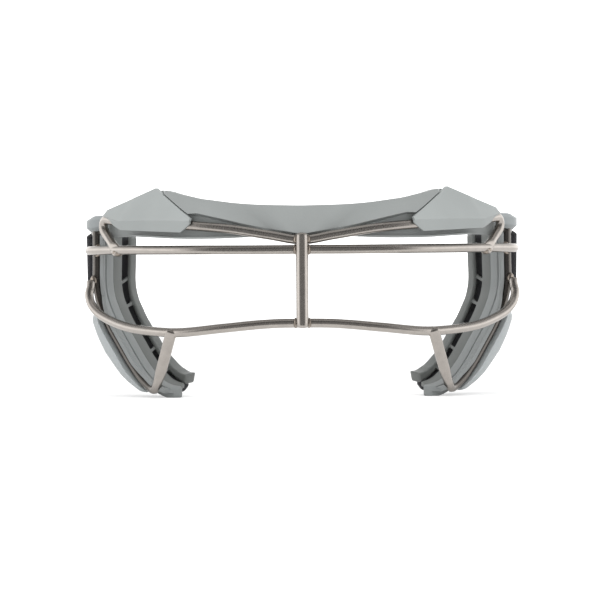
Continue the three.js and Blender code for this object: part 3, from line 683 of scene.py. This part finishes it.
# Brow moulding and wing covers
def on_brow(across, out, up):
    """out is measured square to the front curve of the cage, away from the face."""
    share = abs(across) / HALF_WIDTH
    slope = math.copysign(1, across) * WRAP_POWER * WRAP_DEPTH / HALF_WIDTH * share ** (WRAP_POWER - 1)
    normal = unit(vec(slope, -1, 0))
    return vec(across, WRAP_DEPTH * share ** WRAP_POWER, up) + normal * out


BROW_THICK = 2.6
BROW_RECESS = 2.7
BROW_CREST = 0.6
BROW_BACK = BROW_RECESS + BROW_THICK
WING_THICK = 1.6
WING_STAND = 2.3
WING_BEVEL = 0.5
WING_OUTER = WING_STAND + WING_THICK
WING_ROOM = FIT * 1.5
BROW_TOP = [
    (0, 0.443), (0.14, 0.445), (0.28, 0.452), (0.465, 0.478), (0.57, 0.504), (0.63, 0.521), (0.7, 0.525),
    (0.79, 0.484), (0.93, 0.41),
]
CREST = [(0, 0.312), (0.05, 0.319), (0.22, 0.349), (0.46, 0.409), (0.55, 0.453), (0.6, 0.488)]
LIP = [(0, 0.302), (0.18, 0.3), (0.28, 0.295), (0.42, 0.291), (0.56, 0.293), (0.78, 0.311)]
CREST_OUT = [(0, -0.1), (0.15, 0.5), (0.4, 1)]
LIP_OUT = [(0, -0.9), (0.2, -0.8), (0.28, -0.8), (0.4, -0.2), (0.55, 0), (0.74, 0), (0.8, -0.9)]
BROW_STATIONS = [
    0, 0.08, 0.16, 0.24, 0.32, 0.4, 0.46, 0.5, 0.54, 0.58, 0.61, 0.64, 0.67, 0.7, 0.75, 0.8, 0.86, 0.905,
]
BROW_SLOPE = 0.5
UNDERCUT = 1.0
LIP_RISE = 1.4
WING_TOP = [
    (0.475, 0.382), (0.553, 0.441), (0.62, 0.487), (0.695, 0.535), (0.79, 0.4875), (0.882, 0.442),
]
WING_RIDGE = [(0.475, 0.372), (0.62, 0.378), (0.795, 0.382), (0.882, 0.416)]
WING_BOTTOM = [
    (0.475, 0.363), (0.5, 0.34), (0.524, 0.321), (0.66, 0.33), (0.795, 0.341), (0.83, 0.362),
    (0.882, 0.404),
]
WING_SWELL = [(0.78, 1), (0.882, 0.5)]
WING_STATIONS = [0.478, 0.5, 0.524, 0.553, 0.59, 0.62, 0.66, 0.695, 0.74, 0.79, 0.83, 0.882]
WING_PEAK = 0.69
WING_BEHIND = 0.65
WING_SLOPE = 0.68
WING_UNDER = 0.22


def brow_profile(side):
    """(out, up) of the nine corners of the brow's section at a share of the half width."""
    wing_top = along(WING_TOP, side) * FRAME_HEIGHT
    ridge = along(WING_RIDGE, side) * FRAME_HEIGHT

    def under_wing(up):
        return min(WING_STAND - WING_BEVEL - WING_ROOM - abs(up - ridge) * WING_SLOPE, -BROW_RECESS)

    lip = along(LIP, side) * FRAME_HEIGHT
    covered = side > WING_STATIONS[0]
    top = along(BROW_TOP, side) * FRAME_HEIGHT
    crest = along(CREST, side) * FRAME_HEIGHT
    crest_out = along(CREST_OUT, side) * BROW_CREST
    under = crest - UNDERCUT
    if covered:
        crest = wing_top + WING_ROOM
        under = wing_top + WING_ROOM / 2
        flush = WING_OUTER - WING_BEVEL - (crest - ridge) * WING_SLOPE
        crest_out = under_wing(crest) if side > WING_BEHIND else min(crest_out, flush)
    top_out = crest_out - (top - crest) * BROW_SLOPE - BROW_CREST
    if side > WING_PEAK:
        top = wing_top - WING_ROOM * 2
        crest = top - UNDERCUT / 2
        top_out = under_wing(top)
        crest_out = under_wing(crest)
        under = crest - UNDERCUT
    under_out = under_wing(under) if covered else -BROW_RECESS
    low = min(under, ridge if covered else crest) - LIP_RISE
    lip_out = along(LIP_OUT, side) * BROW_RECESS
    lip_top = min(lip + LIP_RISE / 2, low - LIP_RISE / 4)
    return np.array([
        (top_out, top), (crest_out, crest), (under_out, under),
        (-BROW_RECESS, max(low, lip_top + LIP_RISE / 4)), (-BROW_RECESS, lip_top), (lip_out, lip_top),
        (lip_out, lip), (-BROW_BACK, lip), (top_out - BROW_THICK, top),
    ])


brow_rows = [brow_profile(s) for s in BROW_STATIONS]
FACET_TOP = 17.0
FACET_FOOT = 4.5
FACET_LEAN = -0.3
FACET_RUN = 9.0
FACET_FADE = 24.0
BAND_ROWS = 14
SMOOTH_ROWS = 6


def brow_section(share):
    """The section anywhere along the brow, with a soft facet to each side of the middle.

    The rows between the wing covers are joined by a smooth curve, the others by straight lines.
    """
    side = abs(share)
    stations = BROW_STATIONS
    i = min(max(int(np.searchsorted(stations, side, side="right")) - 1, 0), len(stations) - 2)
    t = (side - stations[i]) / (stations[i + 1] - stations[i])
    a, b = brow_rows[i], brow_rows[i + 1]
    if i < SMOOTH_ROWS:
        before = brow_rows[i - 1] if i > 0 else brow_rows[1]
        after = brow_rows[i + 2] if i + 2 <= SMOOTH_ROWS else 2 * b - a
        section = 0.5 * (2 * a + (b - before) * t + (2 * before - 5 * a + 4 * b - after) * t ** 2
                         + (3 * a - before - 3 * b + after) * t ** 3)
    else:
        section = a * (1 - t) + b * t
    across = share * HALF_WIDTH
    points = []
    top, crest = section[0], section[1]
    for row in range(BAND_ROWS + 1):
        t = row / BAND_ROWS
        out, up = top * (1 - t) + crest * t
        line = FACET_TOP * (1 - t) + FACET_FOOT * t
        past = abs(across) - line
        lean = min(max(past, 0.0), FACET_RUN) * (1 - ease((past - FACET_RUN) / FACET_FADE))
        out += FACET_LEAN * lean * t
        points.append(on_brow(across, out, up))
    for out, up in section[2:]:
        points.append(on_brow(across, out, up))
    return points


brow_shares = []
for a, b in zip(BROW_STATIONS[:-1], BROW_STATIONS[1:]):
    count = max(2, int(round((b - a) * HALF_WIDTH / RING_STEP)))
    brow_shares.extend(np.linspace(a, b, count, endpoint=False))
brow_shares.append(BROW_STATIONS[-1])
brow_shares = [-s for s in brow_shares[:0:-1]] + brow_shares

# Room for the screws, from behind the brow into the wing covers
SCREW = 0.69
SCREW_UP = 0.44
SHANK_RADIUS = 1.55
SHANK_END = 2.0
SEAT_RADIUS = 2.85
SEAT_OVERRUN = 6.0
screw_seat = -BROW_RECESS - FIT * 3 - BROW_THICK * 1.5


def screw_span(start, end, radius, sides=28):
    points = [on_brow(SCREW * HALF_WIDTH, out, SCREW_UP * FRAME_HEIGHT) for out in (start, end)]
    return skin(tube(Curve(points), radius, sides=sides))


screw_tools = [screw_span(screw_seat - SEAT_OVERRUN, SHANK_END, SHANK_RADIUS),
               screw_span(screw_seat - SEAT_OVERRUN, screw_seat, SEAT_RADIUS)]
screw_tools += [(mirror(verts), faces) for verts, faces in screw_tools]
piece("brow_moulding", skin([brow_section(s) for s in brow_shares]), brow_plastic,
      nodes=["brow_shell"], slot="mid_plastic", bevel=0.45, bevel_angle=24, cutters=screw_tools)

WING_STEPS = 40
WIRE_ROOM = 0.15


def wing_section(share):
    across = share * HALF_WIDTH
    lines = (WING_TOP, WING_RIDGE, WING_BOTTOM)
    top, ridge, bottom = [along(line, share) * FRAME_HEIGHT for line in lines]
    drawn = (along(WING_SWELL, share) - 1) * WING_OUTER

    def at(out, up, slope):
        return on_brow(across, drawn + out - abs(up - ridge) * slope, up)

    return [
        at(WING_OUTER - WING_BEVEL, top, WING_SLOPE), at(WING_OUTER, ridge, 0),
        at(WING_OUTER - WING_BEVEL, bottom, WING_UNDER), at(WING_STAND, bottom, WING_UNDER),
        at(WING_STAND, ridge, 0), at(WING_STAND - WING_BEVEL, top, WING_SLOPE),
    ]


wing_shares = [round(s, 4) for s in np.linspace(WING_STATIONS[0], WING_STATIONS[-1], WING_STEPS)]
around_wire = skin(tube(brow_curve, WIRE + WIRE_ROOM, sides=20))
both("wing_panel", skin([wing_section(s) for s in sorted(set(WING_STATIONS + wing_shares))]),
     wing_plastic, nodes=["wing_cover"], slot="light_plastic", bevel=0.4, bevel_angle=14,
     cutters=[around_wire])

# Screw heads
HEAD_RADIUS = 2.5
HEAD_THICK = 1.2
SOCKET_RADIUS = 1.15
SOCKET_DEPTH = 0.45
SOCKET_OVERRUN = 0.1
head_back = screw_seat - HEAD_THICK
hex_socket = screw_span(head_back - SOCKET_OVERRUN, head_back + SOCKET_DEPTH, SOCKET_RADIUS, sides=6)
both("wing_screw_head", screw_span(head_back, screw_seat - FIT, HEAD_RADIUS), screw_steel,
     nodes=["wing_screw"], slot="steel_wire", bevel=0.25, cutters=[hex_socket])

# Temple arms
ARM = [
    (0.827, 0.798, 0.395), (0.893, 0.93, 0.388), (0.95, 1.0, 0.38), (0.963, 1.06, 0.38),
    (0.962, 1.2, 0.385),
]
ARM_WIDE = [1.9, 2.2, 2.9, 3.1, 2.7]
ARM_TALL = [2.6, 2.8, 3.4, 3.3, 2.9]
ARM_SECTION = [(-0.87, 0), (0.35, -1), (0.95, -0.5), (0.95, 0.45), (0.05, 1), (-0.6, 1)]
ARM_STEPS = 30
ARM_LOOK = 0.06
arm_curve = Curve([place(p) for p in ARM])


def arm_ring(t):
    ahead, behind = arm_curve.raw(min(1, t + ARM_LOOK)), arm_curve.raw(max(0, t - ARM_LOOK))
    forward = unit((ahead - behind) * vec(1, 1, 0))
    outer = vec(forward[1], -forward[0], 0)
    row = t * (len(ARM) - 1)
    wide, tall = [float(np.interp(row, range(len(ARM)), sizes)) for sizes in (ARM_WIDE, ARM_TALL)]
    return [arm_curve.raw(t) + outer * a * wide + vec(0, 0, b * tall) for a, b in ARM_SECTION]


both("temple_bar", skin([arm_ring(i / ARM_STEPS) for i in range(ARM_STEPS + 1)]), arm_plastic,
     nodes=["temple_arm"], slot="light_plastic", bevel=0.3, bevel_angle=25)

# Cheek guards
WALL = [(0.945, 1, 0.332)] + ROD[:6] + [
    (0.775, 0.755, -0.304), (0.725, 0.68, -0.374), (0.672, 0.607, -0.424), (0.62, 0.548, -0.449),
    (0.565, 0.505, -0.458),
]
wall = Curve([place(p) for p in WALL])
BACK_TOP = vec(-0.487, 0.873, 0)
BACK_TIP = vec(-0.514, 0.829, 0.221)
WALL_SPREAD = -0.18


def on_wall(share, e, o):
    """e is measured back towards the face, o square to that, away from the eye."""
    down = wall.tangent(share)
    back = BACK_TOP * (1 - share) + BACK_TIP * share
    back = unit(back - down * np.dot(back, down))
    return wall.at(share) + back * e * (1 + WALL_SPREAD * share) + np.cross(down, back) * o


RAIL_STEPS = 110
RAIL_TURNS = (0.0, 0.3, 0.65, 1.0, 1.3)
SLANT_RUN = 0.15


def rail(section, start, end, tip=1.3, tip_size=0.6, slant=0.0):
    """A rail along the wall. section is a list of (e, o) corners, or a function of the share.

    Its ends are drawn in over the length of the tip, and slant sets its last end at an angle.
    """
    reach = tip / wall.length
    stops = [(reach * (1 - math.cos(a)), tip_size + (1 - tip_size) * math.sin(a)) for a in RAIL_TURNS]
    run = end - start - 2 * reach
    shares = [(start + s, size) for s, size in stops]
    shares += [(start + reach + run * i / RAIL_STEPS, 1.0) for i in range(RAIL_STEPS + 1)]
    shares += [(end - s, size) for s, size in reversed(stops)]
    rings = []
    for share, size in shares:
        corners = section(share) if callable(section) else section
        low, high = np.min(corners, axis=0), np.max(corners, axis=0)
        middle = (low + high) / 2
        slanted = slant * ease((share - 1 + SLANT_RUN) / SLANT_RUN)
        ring = []
        for corner in corners:
            cut = slanted * (high[0] - corner[0]) / (high[0] - low[0])
            e, o = middle + (vec(*corner) - middle) * size
            p = on_wall(share - cut, e, o)
            p[2] = max(p[2], FLOOR_UP)
            ring.append(p)
        rings.append(ring)
    return skin(rings)


GROOVE = WIRE + FIT
RAIL_THICK = 2.0
RAIL_INSIDE = -GROOVE - RAIL_THICK
RAIL_OUTSIDE = GROOVE - WIRE + FIT
LIP_FRONT = -1.5
RAIL_BACK = 4.3 + WIRE
CARRIER_WIDE = 6.9
CARRIER_FRONT = RAIL_BACK + FIT
CARRIER_BACK = CARRIER_FRONT + CARRIER_WIDE
CARRIER_INSIDE = RAIL_INSIDE + 0.5
SLOT_WIDE = 3.0
PAD_WIDE = 6.5
PAD_FRONT = CARRIER_BACK + SLOT_WIDE
PAD_BACK = PAD_FRONT + PAD_WIDE
PAD_INSIDE = RAIL_INSIDE - 0.5
PAD_THICK = 3.0
LIP_REACH = [(0.3, 0), (0.42, 2.3), (0.7, 2.3), (0.79, 0.6)]
SCORE_DEPTH = 0.85
SCORE_BACK = 1.4
SCORE_WIDE = 1.0
SCORE_SLOPE = 0.15


def frame_section(share):
    """The rail: a lip in front of the rod, a scored line behind the lip, and the groove for the rod."""
    lip = LIP_FRONT - along(LIP_REACH, share)
    line = LIP_FRONT + SCORE_BACK
    bottom = RAIL_INSIDE + SCORE_DEPTH
    return rounded([
        (lip, RAIL_INSIDE), (line, RAIL_INSIDE), (line + SCORE_SLOPE, bottom),
        (line + SCORE_WIDE - SCORE_SLOPE, bottom), (line + SCORE_WIDE, RAIL_INSIDE),
        (RAIL_BACK, RAIL_INSIDE), (RAIL_BACK, RAIL_OUTSIDE), (GROOVE, RAIL_OUTSIDE),
        (GROOVE, -GROOVE), (lip, -GROOVE),
    ], [0.35, 0.2, 0.1, 0.1, 0.2, 0.5, 0.6, 0.3, 0.4, 0.4])


COVER_FOOT = RAIL_OUTSIDE + FIT
COVER_CREST = 2.5
COVER_SHOULDER = 5.0
COVER_BACK = COVER_SHOULDER + WIRE
COVER_DROP = 2.4
COVER_OUT = [
    (0.34, 7.4), (0.45, 8.6), (0.53, 9.2), (0.61, 8.6), (0.67, 8), (0.72, 7), (0.77, 5.4), (0.82, 4.2),
]


def cover_section(share):
    outer = along(COVER_OUT, share)
    drop = min(COVER_DROP, (outer - GROOVE) / 2)
    return rounded([
        (LIP_FRONT - along(LIP_REACH, share), GROOVE), (GROOVE, GROOVE), (GROOVE, COVER_FOOT),
        (COVER_BACK, COVER_FOOT), (COVER_BACK, outer - drop), (COVER_SHOULDER, outer - drop / 3),
        (COVER_CREST, outer), (LIP_FRONT / 2, outer - drop / 2),
    ], [0.6, 0.3, 0.3, 0.5, 1.2, 1.5, 1.5, 1.5])


carrier_section = rounded([
    (CARRIER_FRONT, CARRIER_INSIDE), (CARRIER_BACK, CARRIER_INSIDE),
    (CARRIER_BACK, CARRIER_INSIDE + RAIL_THICK), (CARRIER_FRONT, CARRIER_INSIDE + RAIL_THICK),
], 0.5)
PAD_SET = [(0, 2.2), (0.4, 1.6), (0.8, 0.5)]
PAD_RISE = [(0.6, 0), (0.85, 1.4)]
PAD_CHAMFER = 2.2


def pad_section(share):
    """The rail that carries the cushion; its front edge is thinner and stands back from the slots."""
    front = PAD_FRONT + along(PAD_SET, share)
    rise = along(PAD_RISE, share)
    inside, back, outside = PAD_INSIDE - rise, PAD_BACK + rise, PAD_INSIDE + PAD_THICK
    return rounded([
        (front, inside), (back, inside), (back, outside), (front + PAD_CHAMFER, outside),
        (front, PAD_INSIDE + PAD_THICK / 2),
    ], [0.7, 0.8, 0.8, 0.6, 0.5])


CUSHION_GAP = 0.6
CUSHION_THICK = 4.6
CUSHION_IN = max(CARRIER_INSIDE + RAIL_THICK, PAD_INSIDE + PAD_THICK) + CUSHION_GAP
CUSHION_OUT = CUSHION_IN + CUSHION_THICK
CUSHION_FRONT = CARRIER_FRONT + 5
CUSHION_BACK = PAD_BACK + 1.6
cushion_section = rounded([
    (CUSHION_FRONT, CUSHION_IN), (CUSHION_BACK, CUSHION_IN),
    (CUSHION_BACK + 1.6, CUSHION_IN + CUSHION_THICK / 3), (CUSHION_BACK, CUSHION_OUT),
    (CUSHION_FRONT + 2.4, CUSHION_OUT), (CUSHION_FRONT, CUSHION_IN + CUSHION_THICK / 2),
], 1.4)

RIB_SHARES = [0.08, 0.23, 0.345, 0.48, 0.62, 0.76]
RIB_WIDE = 1.3 / wall.length
RIB_THICK = 1.2
RIB_INSIDE = RAIL_INSIDE + 0.7
RIB_SINK = 0.5
RIB_ROOT = 0.7
RIB_SWELL = 1.4
RIB_SLANT = -0.02
RIB_STEP = -0.004


def rib(share):
    """A bar from the carrier to the pad rail, slanting up to it and swollen where it meets them."""
    pad = PAD_FRONT + along(PAD_SET, share)
    stops = [
        (CARRIER_BACK - RIB_SINK, 0.0, RIB_SWELL), (CARRIER_BACK + RIB_ROOT, RIB_STEP, 1.0),
        (pad - RIB_SINK, RIB_SLANT, 1.0), (pad + RIB_ROOT, RIB_SLANT + RIB_STEP, RIB_SWELL),
    ]
    rings = []
    for e, shift, swell in stops:
        half = RIB_WIDE / 2 * swell
        low, high = share + shift - half, share + shift + half
        corners = [(low, 0), (high, 0), (high, RIB_THICK), (low, RIB_THICK)]
        rings.append([on_wall(s, e, RIB_INSIDE + o) for s, o in corners])
    return skin(rings)


rod_room = skin(tube(rod_curve, WIRE + 0.25, sides=20))
both("cheek_rail", rail(frame_section, 0, 1, slant=0.055), frame_plastic, nodes=["cheek_frame"],
     slot="mid_plastic", sharp=30, cutters=[rod_room])
both("cheek_guard", rail(cover_section, 0.345, 0.815, tip=3.0, tip_size=0.35), cover_plastic,
     nodes=["cheek_cover"], slot="light_plastic", sharp=34, cutters=[rod_room])
ladder = [rail(carrier_section, 0, 0.975), rail(pad_section, 0, 0.915, tip=2.0, tip_size=0.5)]
both("pad_ladder", joined(*ladder, *[rib(s) for s in RIB_SHARES]), carrier_plastic,
     nodes=["pad_carrier"], slot="dark_plastic", sharp=34)
for cushion in both("cheek_pad", rail(cushion_section, 0.004, 0.855, tip=2.0, tip_size=0.5), pad_foam,
                    nodes=["cheek_cushion"], slot="pad_foam", sharp=50):
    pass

# Brow pad
BROW_PAD_END = 0.61
BROW_PAD_STEPS = 90
BROW_PAD_LIFT = 2.2
BROW_PAD_TALL = 9.6
BROW_PAD_DEEP = 6.0
BROW_PAD_ROUND = 1.6


def brow_pad_section(share):
    section = brow_profile(abs(share))
    low, high = section[7], section[8]
    slope = min((high[0] - low[0]) / (high[1] - low[1]), 0.0)
    lip = along(LIP, abs(share)) * FRAME_HEIGHT
    bottom = lip + BROW_PAD_LIFT
    top = bottom + BROW_PAD_TALL
    middle, back = BROW_PAD_DEEP / 2, BROW_PAD_DEEP
    corners = rounded([
        (0, bottom), (0, top), (middle, top), (back, top - BROW_PAD_ROUND),
        (back, bottom + BROW_PAD_ROUND), (middle, bottom),
    ], BROW_PAD_ROUND)
    return [on_brow(share * HALF_WIDTH, (up - lip) * slope - BROW_BACK - FIT - depth, up)
            for depth, up in corners]


pad_rings = [brow_pad_section(s) for s in np.linspace(-BROW_PAD_END, BROW_PAD_END, BROW_PAD_STEPS)]
for i, size in ((0, 0.55), (1, 0.9), (-1, 0.55), (-2, 0.9)):
    middle = np.mean(pad_rings[i], axis=0)
    pad_rings[i] = [middle + (p - middle) * size for p in pad_rings[i]]
brow_pad = piece("brow_cushion", skin(pad_rings), pad_foam, nodes=["brow_pad"], slot="pad_foam", sharp=60)

# Strap, its bars and sliders
STRAP_WIDTH = 19.0
STRAP_THICK = 1.8
BAR_RADIUS = 1.5
BAR_END = 3.2
BAR_BACK = 9.0
STRAP_MIDDLE = 0.217
STRAP_LAYER = 1.9
LOOP_LENGTH = 48.0
STRAP_RUN = 92.0
STRAP_RISE = 18.0
STRAP_LEAN = 5.0
STRAP_BACK = 128.0
strap_centre = vec(rod_axis[0] + WIRE / 1.5, rod_axis[1] + BAR_BACK, STRAP_MIDDLE * FRAME_HEIGHT)
strap_along = unit(vec(-STRAP_LEAN, STRAP_RUN, STRAP_RISE))
strap_up = unit(vec(0, -strap_along[2], strap_along[1]))
strap_side = unit(np.cross(strap_along, strap_up))


def on_strap(a, s, w):
    """a runs along the strap from its bar, s to the outside, w up its width."""
    return strap_centre + strap_along * a + strap_side * s + strap_up * w


bar_reach = STRAP_WIDTH / 2 + BAR_END
bar_curve = Curve([on_strap(0, 0, -bar_reach), on_strap(0, 0, bar_reach)])
wire("strap_pin", tube(bar_curve, BAR_RADIUS, round_ends=0.5), "strap_bar",
     screw_steel, both)

HEAD = [
    (0, 1, 1.04), (0.2, 0.992, 1.05), (0.4, 0.965, 1.07), (0.585, 0.905, 1.1), (0.745, 0.82, 1.1),
    (0.86, 0.72, 1.03), (0.925, 0.615, 0.88), (0.9475, 0.51, 0.67),
]
TILT = [(0, 1), (0.4, 0.95), (0.6, 0.75), (0.75, 0.3), (0.9, 0)]
HEAD_TILT = math.radians(48)
head_run = Curve([
    vec(a * HALF_WIDTH, strap_centre[1] + b * STRAP_BACK, strap_centre[2] + r * STRAP_RISE)
    for a, b, r in HEAD
] + [on_strap(a, STRAP_LAYER, 0) for a in (LOOP_LENGTH, LOOP_LENGTH - STRAP_WIDTH / 2)])

# The strap's section, as (thickness, width): one face and one rounded edge, then both turned about
ROWS = 10
EDGE_ROUND = 1.0
EDGE_FULL = 0.15
outline = [(STRAP_THICK / 2, (0.5 - i / ROWS) * (STRAP_WIDTH - EDGE_ROUND)) for i in range(ROWS + 1)]
outline += [(a * STRAP_THICK, inset - STRAP_WIDTH / 2)
            for a, inset in ((0.3, EDGE_FULL), (0, 0), (-0.3, EDGE_FULL))]
outline += [(-a, -b) for a, b in outline]


def strap_ring(centre, thick, up):
    return [centre + thick * a + up * b for a, b in outline]


def head_ring(share):
    centre = head_run.at(share)
    forward = head_run.tangent(share)
    tilt = along(TILT, share) * HEAD_TILT
    inward = unit(vec(-centre[0], strap_centre[1] - centre[1], 0))
    up = strap_up * math.cos(tilt) + inward * math.sin(tilt)
    up = unit(up - forward * np.dot(up, forward))
    return strap_ring(centre, unit(np.cross(up, forward)), up)


def loop_ring(a, s, turn):
    thick = strap_side * math.cos(turn) - strap_along * math.sin(turn)
    return strap_ring(on_strap(a, s, 0), thick, strap_up)


HEAD_STEPS = 150
LAYER_STEPS = 24
EASE_STEPS = 8
TURN_STEPS = 20
END_STEPS = 40
LOOP_EASE = 8.0
LOOP_RADIUS = BAR_RADIUS + WELD_GAP + STRAP_THICK / 2
layer_from = LOOP_LENGTH - STRAP_WIDTH
pinch = LOOP_RADIUS - STRAP_LAYER
loop = [(layer_from + (LOOP_EASE - layer_from) * i / LAYER_STEPS, STRAP_LAYER, 0)
        for i in range(LAYER_STEPS)]
for i in range(EASE_STEPS):
    t = i / EASE_STEPS
    loop.append((LOOP_EASE * (1 - t), STRAP_LAYER + pinch * ease(t), 0))
for i in range(TURN_STEPS + 1):
    turn = math.pi * i / TURN_STEPS
    loop.append((-LOOP_RADIUS * math.sin(turn), LOOP_RADIUS * math.cos(turn), turn))
for i in range(1, EASE_STEPS + 1):
    t = i / EASE_STEPS
    loop.append((LOOP_EASE * t, pinch * ease(t) - LOOP_RADIUS, math.pi))
for i in range(1, END_STEPS + 1):
    loop.append((LOOP_EASE + (LOOP_LENGTH - LOOP_EASE) * i / END_STEPS, -STRAP_LAYER, math.pi))
# The last three steps towards the loop are left to the loop itself
right_rings = [head_ring(i / HEAD_STEPS) for i in range(HEAD_STEPS - 3)]
right_rings += [loop_ring(*stop) for stop in loop]
strap_rings = [mirror(ring) for ring in right_rings[:0:-1]] + right_rings


runs = lengths([np.mean(ring, axis=0) for ring in strap_rings])
edge = lengths(outline + outline[:1])
count = len(outline)
strap_uvs = [[(runs[i], edge[k]), (runs[i], edge[k + 1]), (runs[i + 1], edge[k + 1]),
              (runs[i + 1], edge[k])] for i in range(len(strap_rings) - 1) for k in range(count)]
strap_uvs.append([(0, edge[k]) for k in reversed(range(count))])
strap_uvs.append([(0, edge[k]) for k in range(count)])
piece("strap_webbing", skin(strap_rings), strap_web, nodes=["head_strap"], slot="strap_webbing",
      sharp=70, uvs=strap_uvs)

LAYER_HALF = STRAP_THICK / 2 + FIT
SLIDER_WALL = 1.5
SLIDER_OUT = STRAP_LAYER + LAYER_HALF + SLIDER_WALL
SLIDER_UP = STRAP_WIDTH / 2 + FIT + SLIDER_WALL
SLIDER_MIDDLE = 26.0
SLIDER_HALF = 4.5
SLIDER_INSETS = [(0, 0.5), (0.15, 0.2), (0.5, 0), (3.4, 0), (3.8, 0.35)]
SLIDER_ROUND = 2.2
WINDOW_ROUND = 0.4
WINDOW_OVERRUN = 6.0
slider_from, slider_to = SLIDER_MIDDLE - SLIDER_HALF, SLIDER_MIDDLE + SLIDER_HALF


def slider_ring(a, inset):
    out, up = SLIDER_OUT - inset, SLIDER_UP - inset
    corners = rounded([(out, up), (out, -up), (-out, -up), (-out, up)], SLIDER_ROUND, steps=5)
    return [on_strap(a, s, w) for s, w in corners]


def strap_window(layer):
    """The way through the slider for one layer of the strap."""
    low, high, half = layer - LAYER_HALF, layer + LAYER_HALF, STRAP_WIDTH / 2 + FIT
    corners = rounded([(high, half), (high, -half), (low, -half), (low, half)], WINDOW_ROUND)
    ends = (slider_from - WINDOW_OVERRUN, slider_to + WINDOW_OVERRUN)
    return skin([[on_strap(a, s, w) for s, w in corners] for a in ends])


slider_rings = [slider_ring(slider_from + a, inset) for a, inset in SLIDER_INSETS]
slider_rings += [slider_ring(slider_to - a, inset) for a, inset in reversed(SLIDER_INSETS)]
both("slider_block", skin(slider_rings), slider_plastic, nodes=["strap_slider"], body="slider",
     slot="dark_plastic", sharp=40, cutters=[strap_window(STRAP_LAYER), strap_window(-STRAP_LAYER)])

# Floor, light and camera, in metres
WHITE = (1, 1, 1, 1)
FLOOR_TONE = 0.72
FLOOR_LIFT = 0.5
FLOOR_SIDE = 3.0
FLOOR_NEAR = -0.16
FLOOR_FAR = 4.0
floor_mesh = bpy.data.meshes.new("floor")
floor_mesh.from_pydata([
    (-FLOOR_SIDE, FLOOR_NEAR, 0), (FLOOR_SIDE, FLOOR_NEAR, 0),
    (FLOOR_SIDE, FLOOR_FAR, 0), (-FLOOR_SIDE, FLOOR_FAR, 0),
], [], [(0, 1, 2, 3)])
floor = new_object("floor", floor_mesh)
floor_mat, tree, base = material("floor_white")


def seen_rays(tree):
    """1 for camera rays, and 1 for all rays that show the background: mirrored or through glass too."""
    path = tree.nodes.new("ShaderNodeLightPath").outputs
    mirrored = math_node(tree, "MAXIMUM", path["Is Glossy Ray"], path["Is Transmission Ray"])
    return path["Is Camera Ray"], math_node(tree, "MAXIMUM", path["Is Camera Ray"], mirrored)


tone = (FLOOR_TONE, FLOOR_TONE, FLOOR_TONE, 1)
matt = feed(tree, base, {"Base Color": tone, "Roughness": 0.9, "Specular IOR Level": 0.0})[0]
lift = math_node(tree, "MULTIPLY", seen_rays(tree)[1], FLOOR_LIFT)
glow = add_node(tree, "Emission", {"Color": WHITE, "Strength": lift})[0]
lifted = add_node(tree, "AddShader", [matt, glow])[0]
feed(tree, tree.nodes["Material Output"], {"Surface": lifted})
floor_mesh.materials.append(floor_mat)

world = bpy.data.worlds.new("studio")
bpy.context.scene.world = world
world.use_nodes = True
tree = world.node_tree
tree.nodes.clear()
coords = tree.nodes.new("ShaderNodeTexCoord")
east, south, height = add_node(tree, "SeparateXYZ", [coords.outputs["Generated"]])


def fade(source, start, end, high, low=0.0):
    """A soft change from low to high between two parts of a direction."""
    return spread(tree, source, low, high, start, end, "SMOOTHSTEP")


def background(strength):
    return add_node(tree, "Background", {"Color": WHITE, "Strength": strength})[0]


# Diffuse rays find soft light on each side; glossy rays find a white room with a darker front and top
camera_rays, background_rays = seen_rays(tree)
sides = fade(math_node(tree, "ABSOLUTE", east), 0.5, 0.9, high=0.45)
top = fade(height, 0.4, 0.9, high=1.1)
front = fade(south, -0.4, -0.9, high=1.3)
back = fade(south, 0.4, 0.9, high=0.9)
ends = math_node(tree, "ADD", front, back)
room = background(math_node(tree, "ADD", ends, math_node(tree, "ADD", sides, top)))
studio_front = fade(south, -0.75, -0.35, high=1.8, low=0.26)
studio_top = fade(height, 0.2, 0.75, high=0.22, low=1.0)
studio = math_node(tree, "MULTIPLY", studio_front, studio_top)
white = background(math_node(tree, "MAXIMUM", camera_rays, studio))
mixed = add_node(tree, "MixShader", [background_rays, room, white])[0]
add_node(tree, "OutputWorld", {"Surface": mixed})

LIGHT_AT = Vector((0.0, 0.1, 2.0))
LIGHT_AIM = Vector((0.0, -0.05, 0.05))
light_data = bpy.data.lights.new("top_light", "AREA")
light_data.shape = "RECTANGLE"
light_data.size = 3.0
light_data.size_y = 2.0
light_data.energy = 4
light = new_object("top_light", light_data)
light.location = LIGHT_AT
light.rotation_euler = (LIGHT_AIM - LIGHT_AT).to_track_quat("-Z", "Y").to_euler()

CAMERA_AT = (-0.0009, -1.0979, 0.0384)
CAMERA_ROLL = math.radians(-0.4)
camera_data = bpy.data.cameras.new("camera")
camera_data.lens = 156
camera_data.sensor_width = 36
camera_data.clip_end = 50
camera = new_object("camera", camera_data)
camera.location = CAMERA_AT
camera.rotation_euler = (math.radians(90), 0, 0)
camera.rotation_euler.rotate_axis("Z", CAMERA_ROLL)
bpy.context.scene.camera = camera
bpy.context.scene.view_settings.view_transform = "Standard"
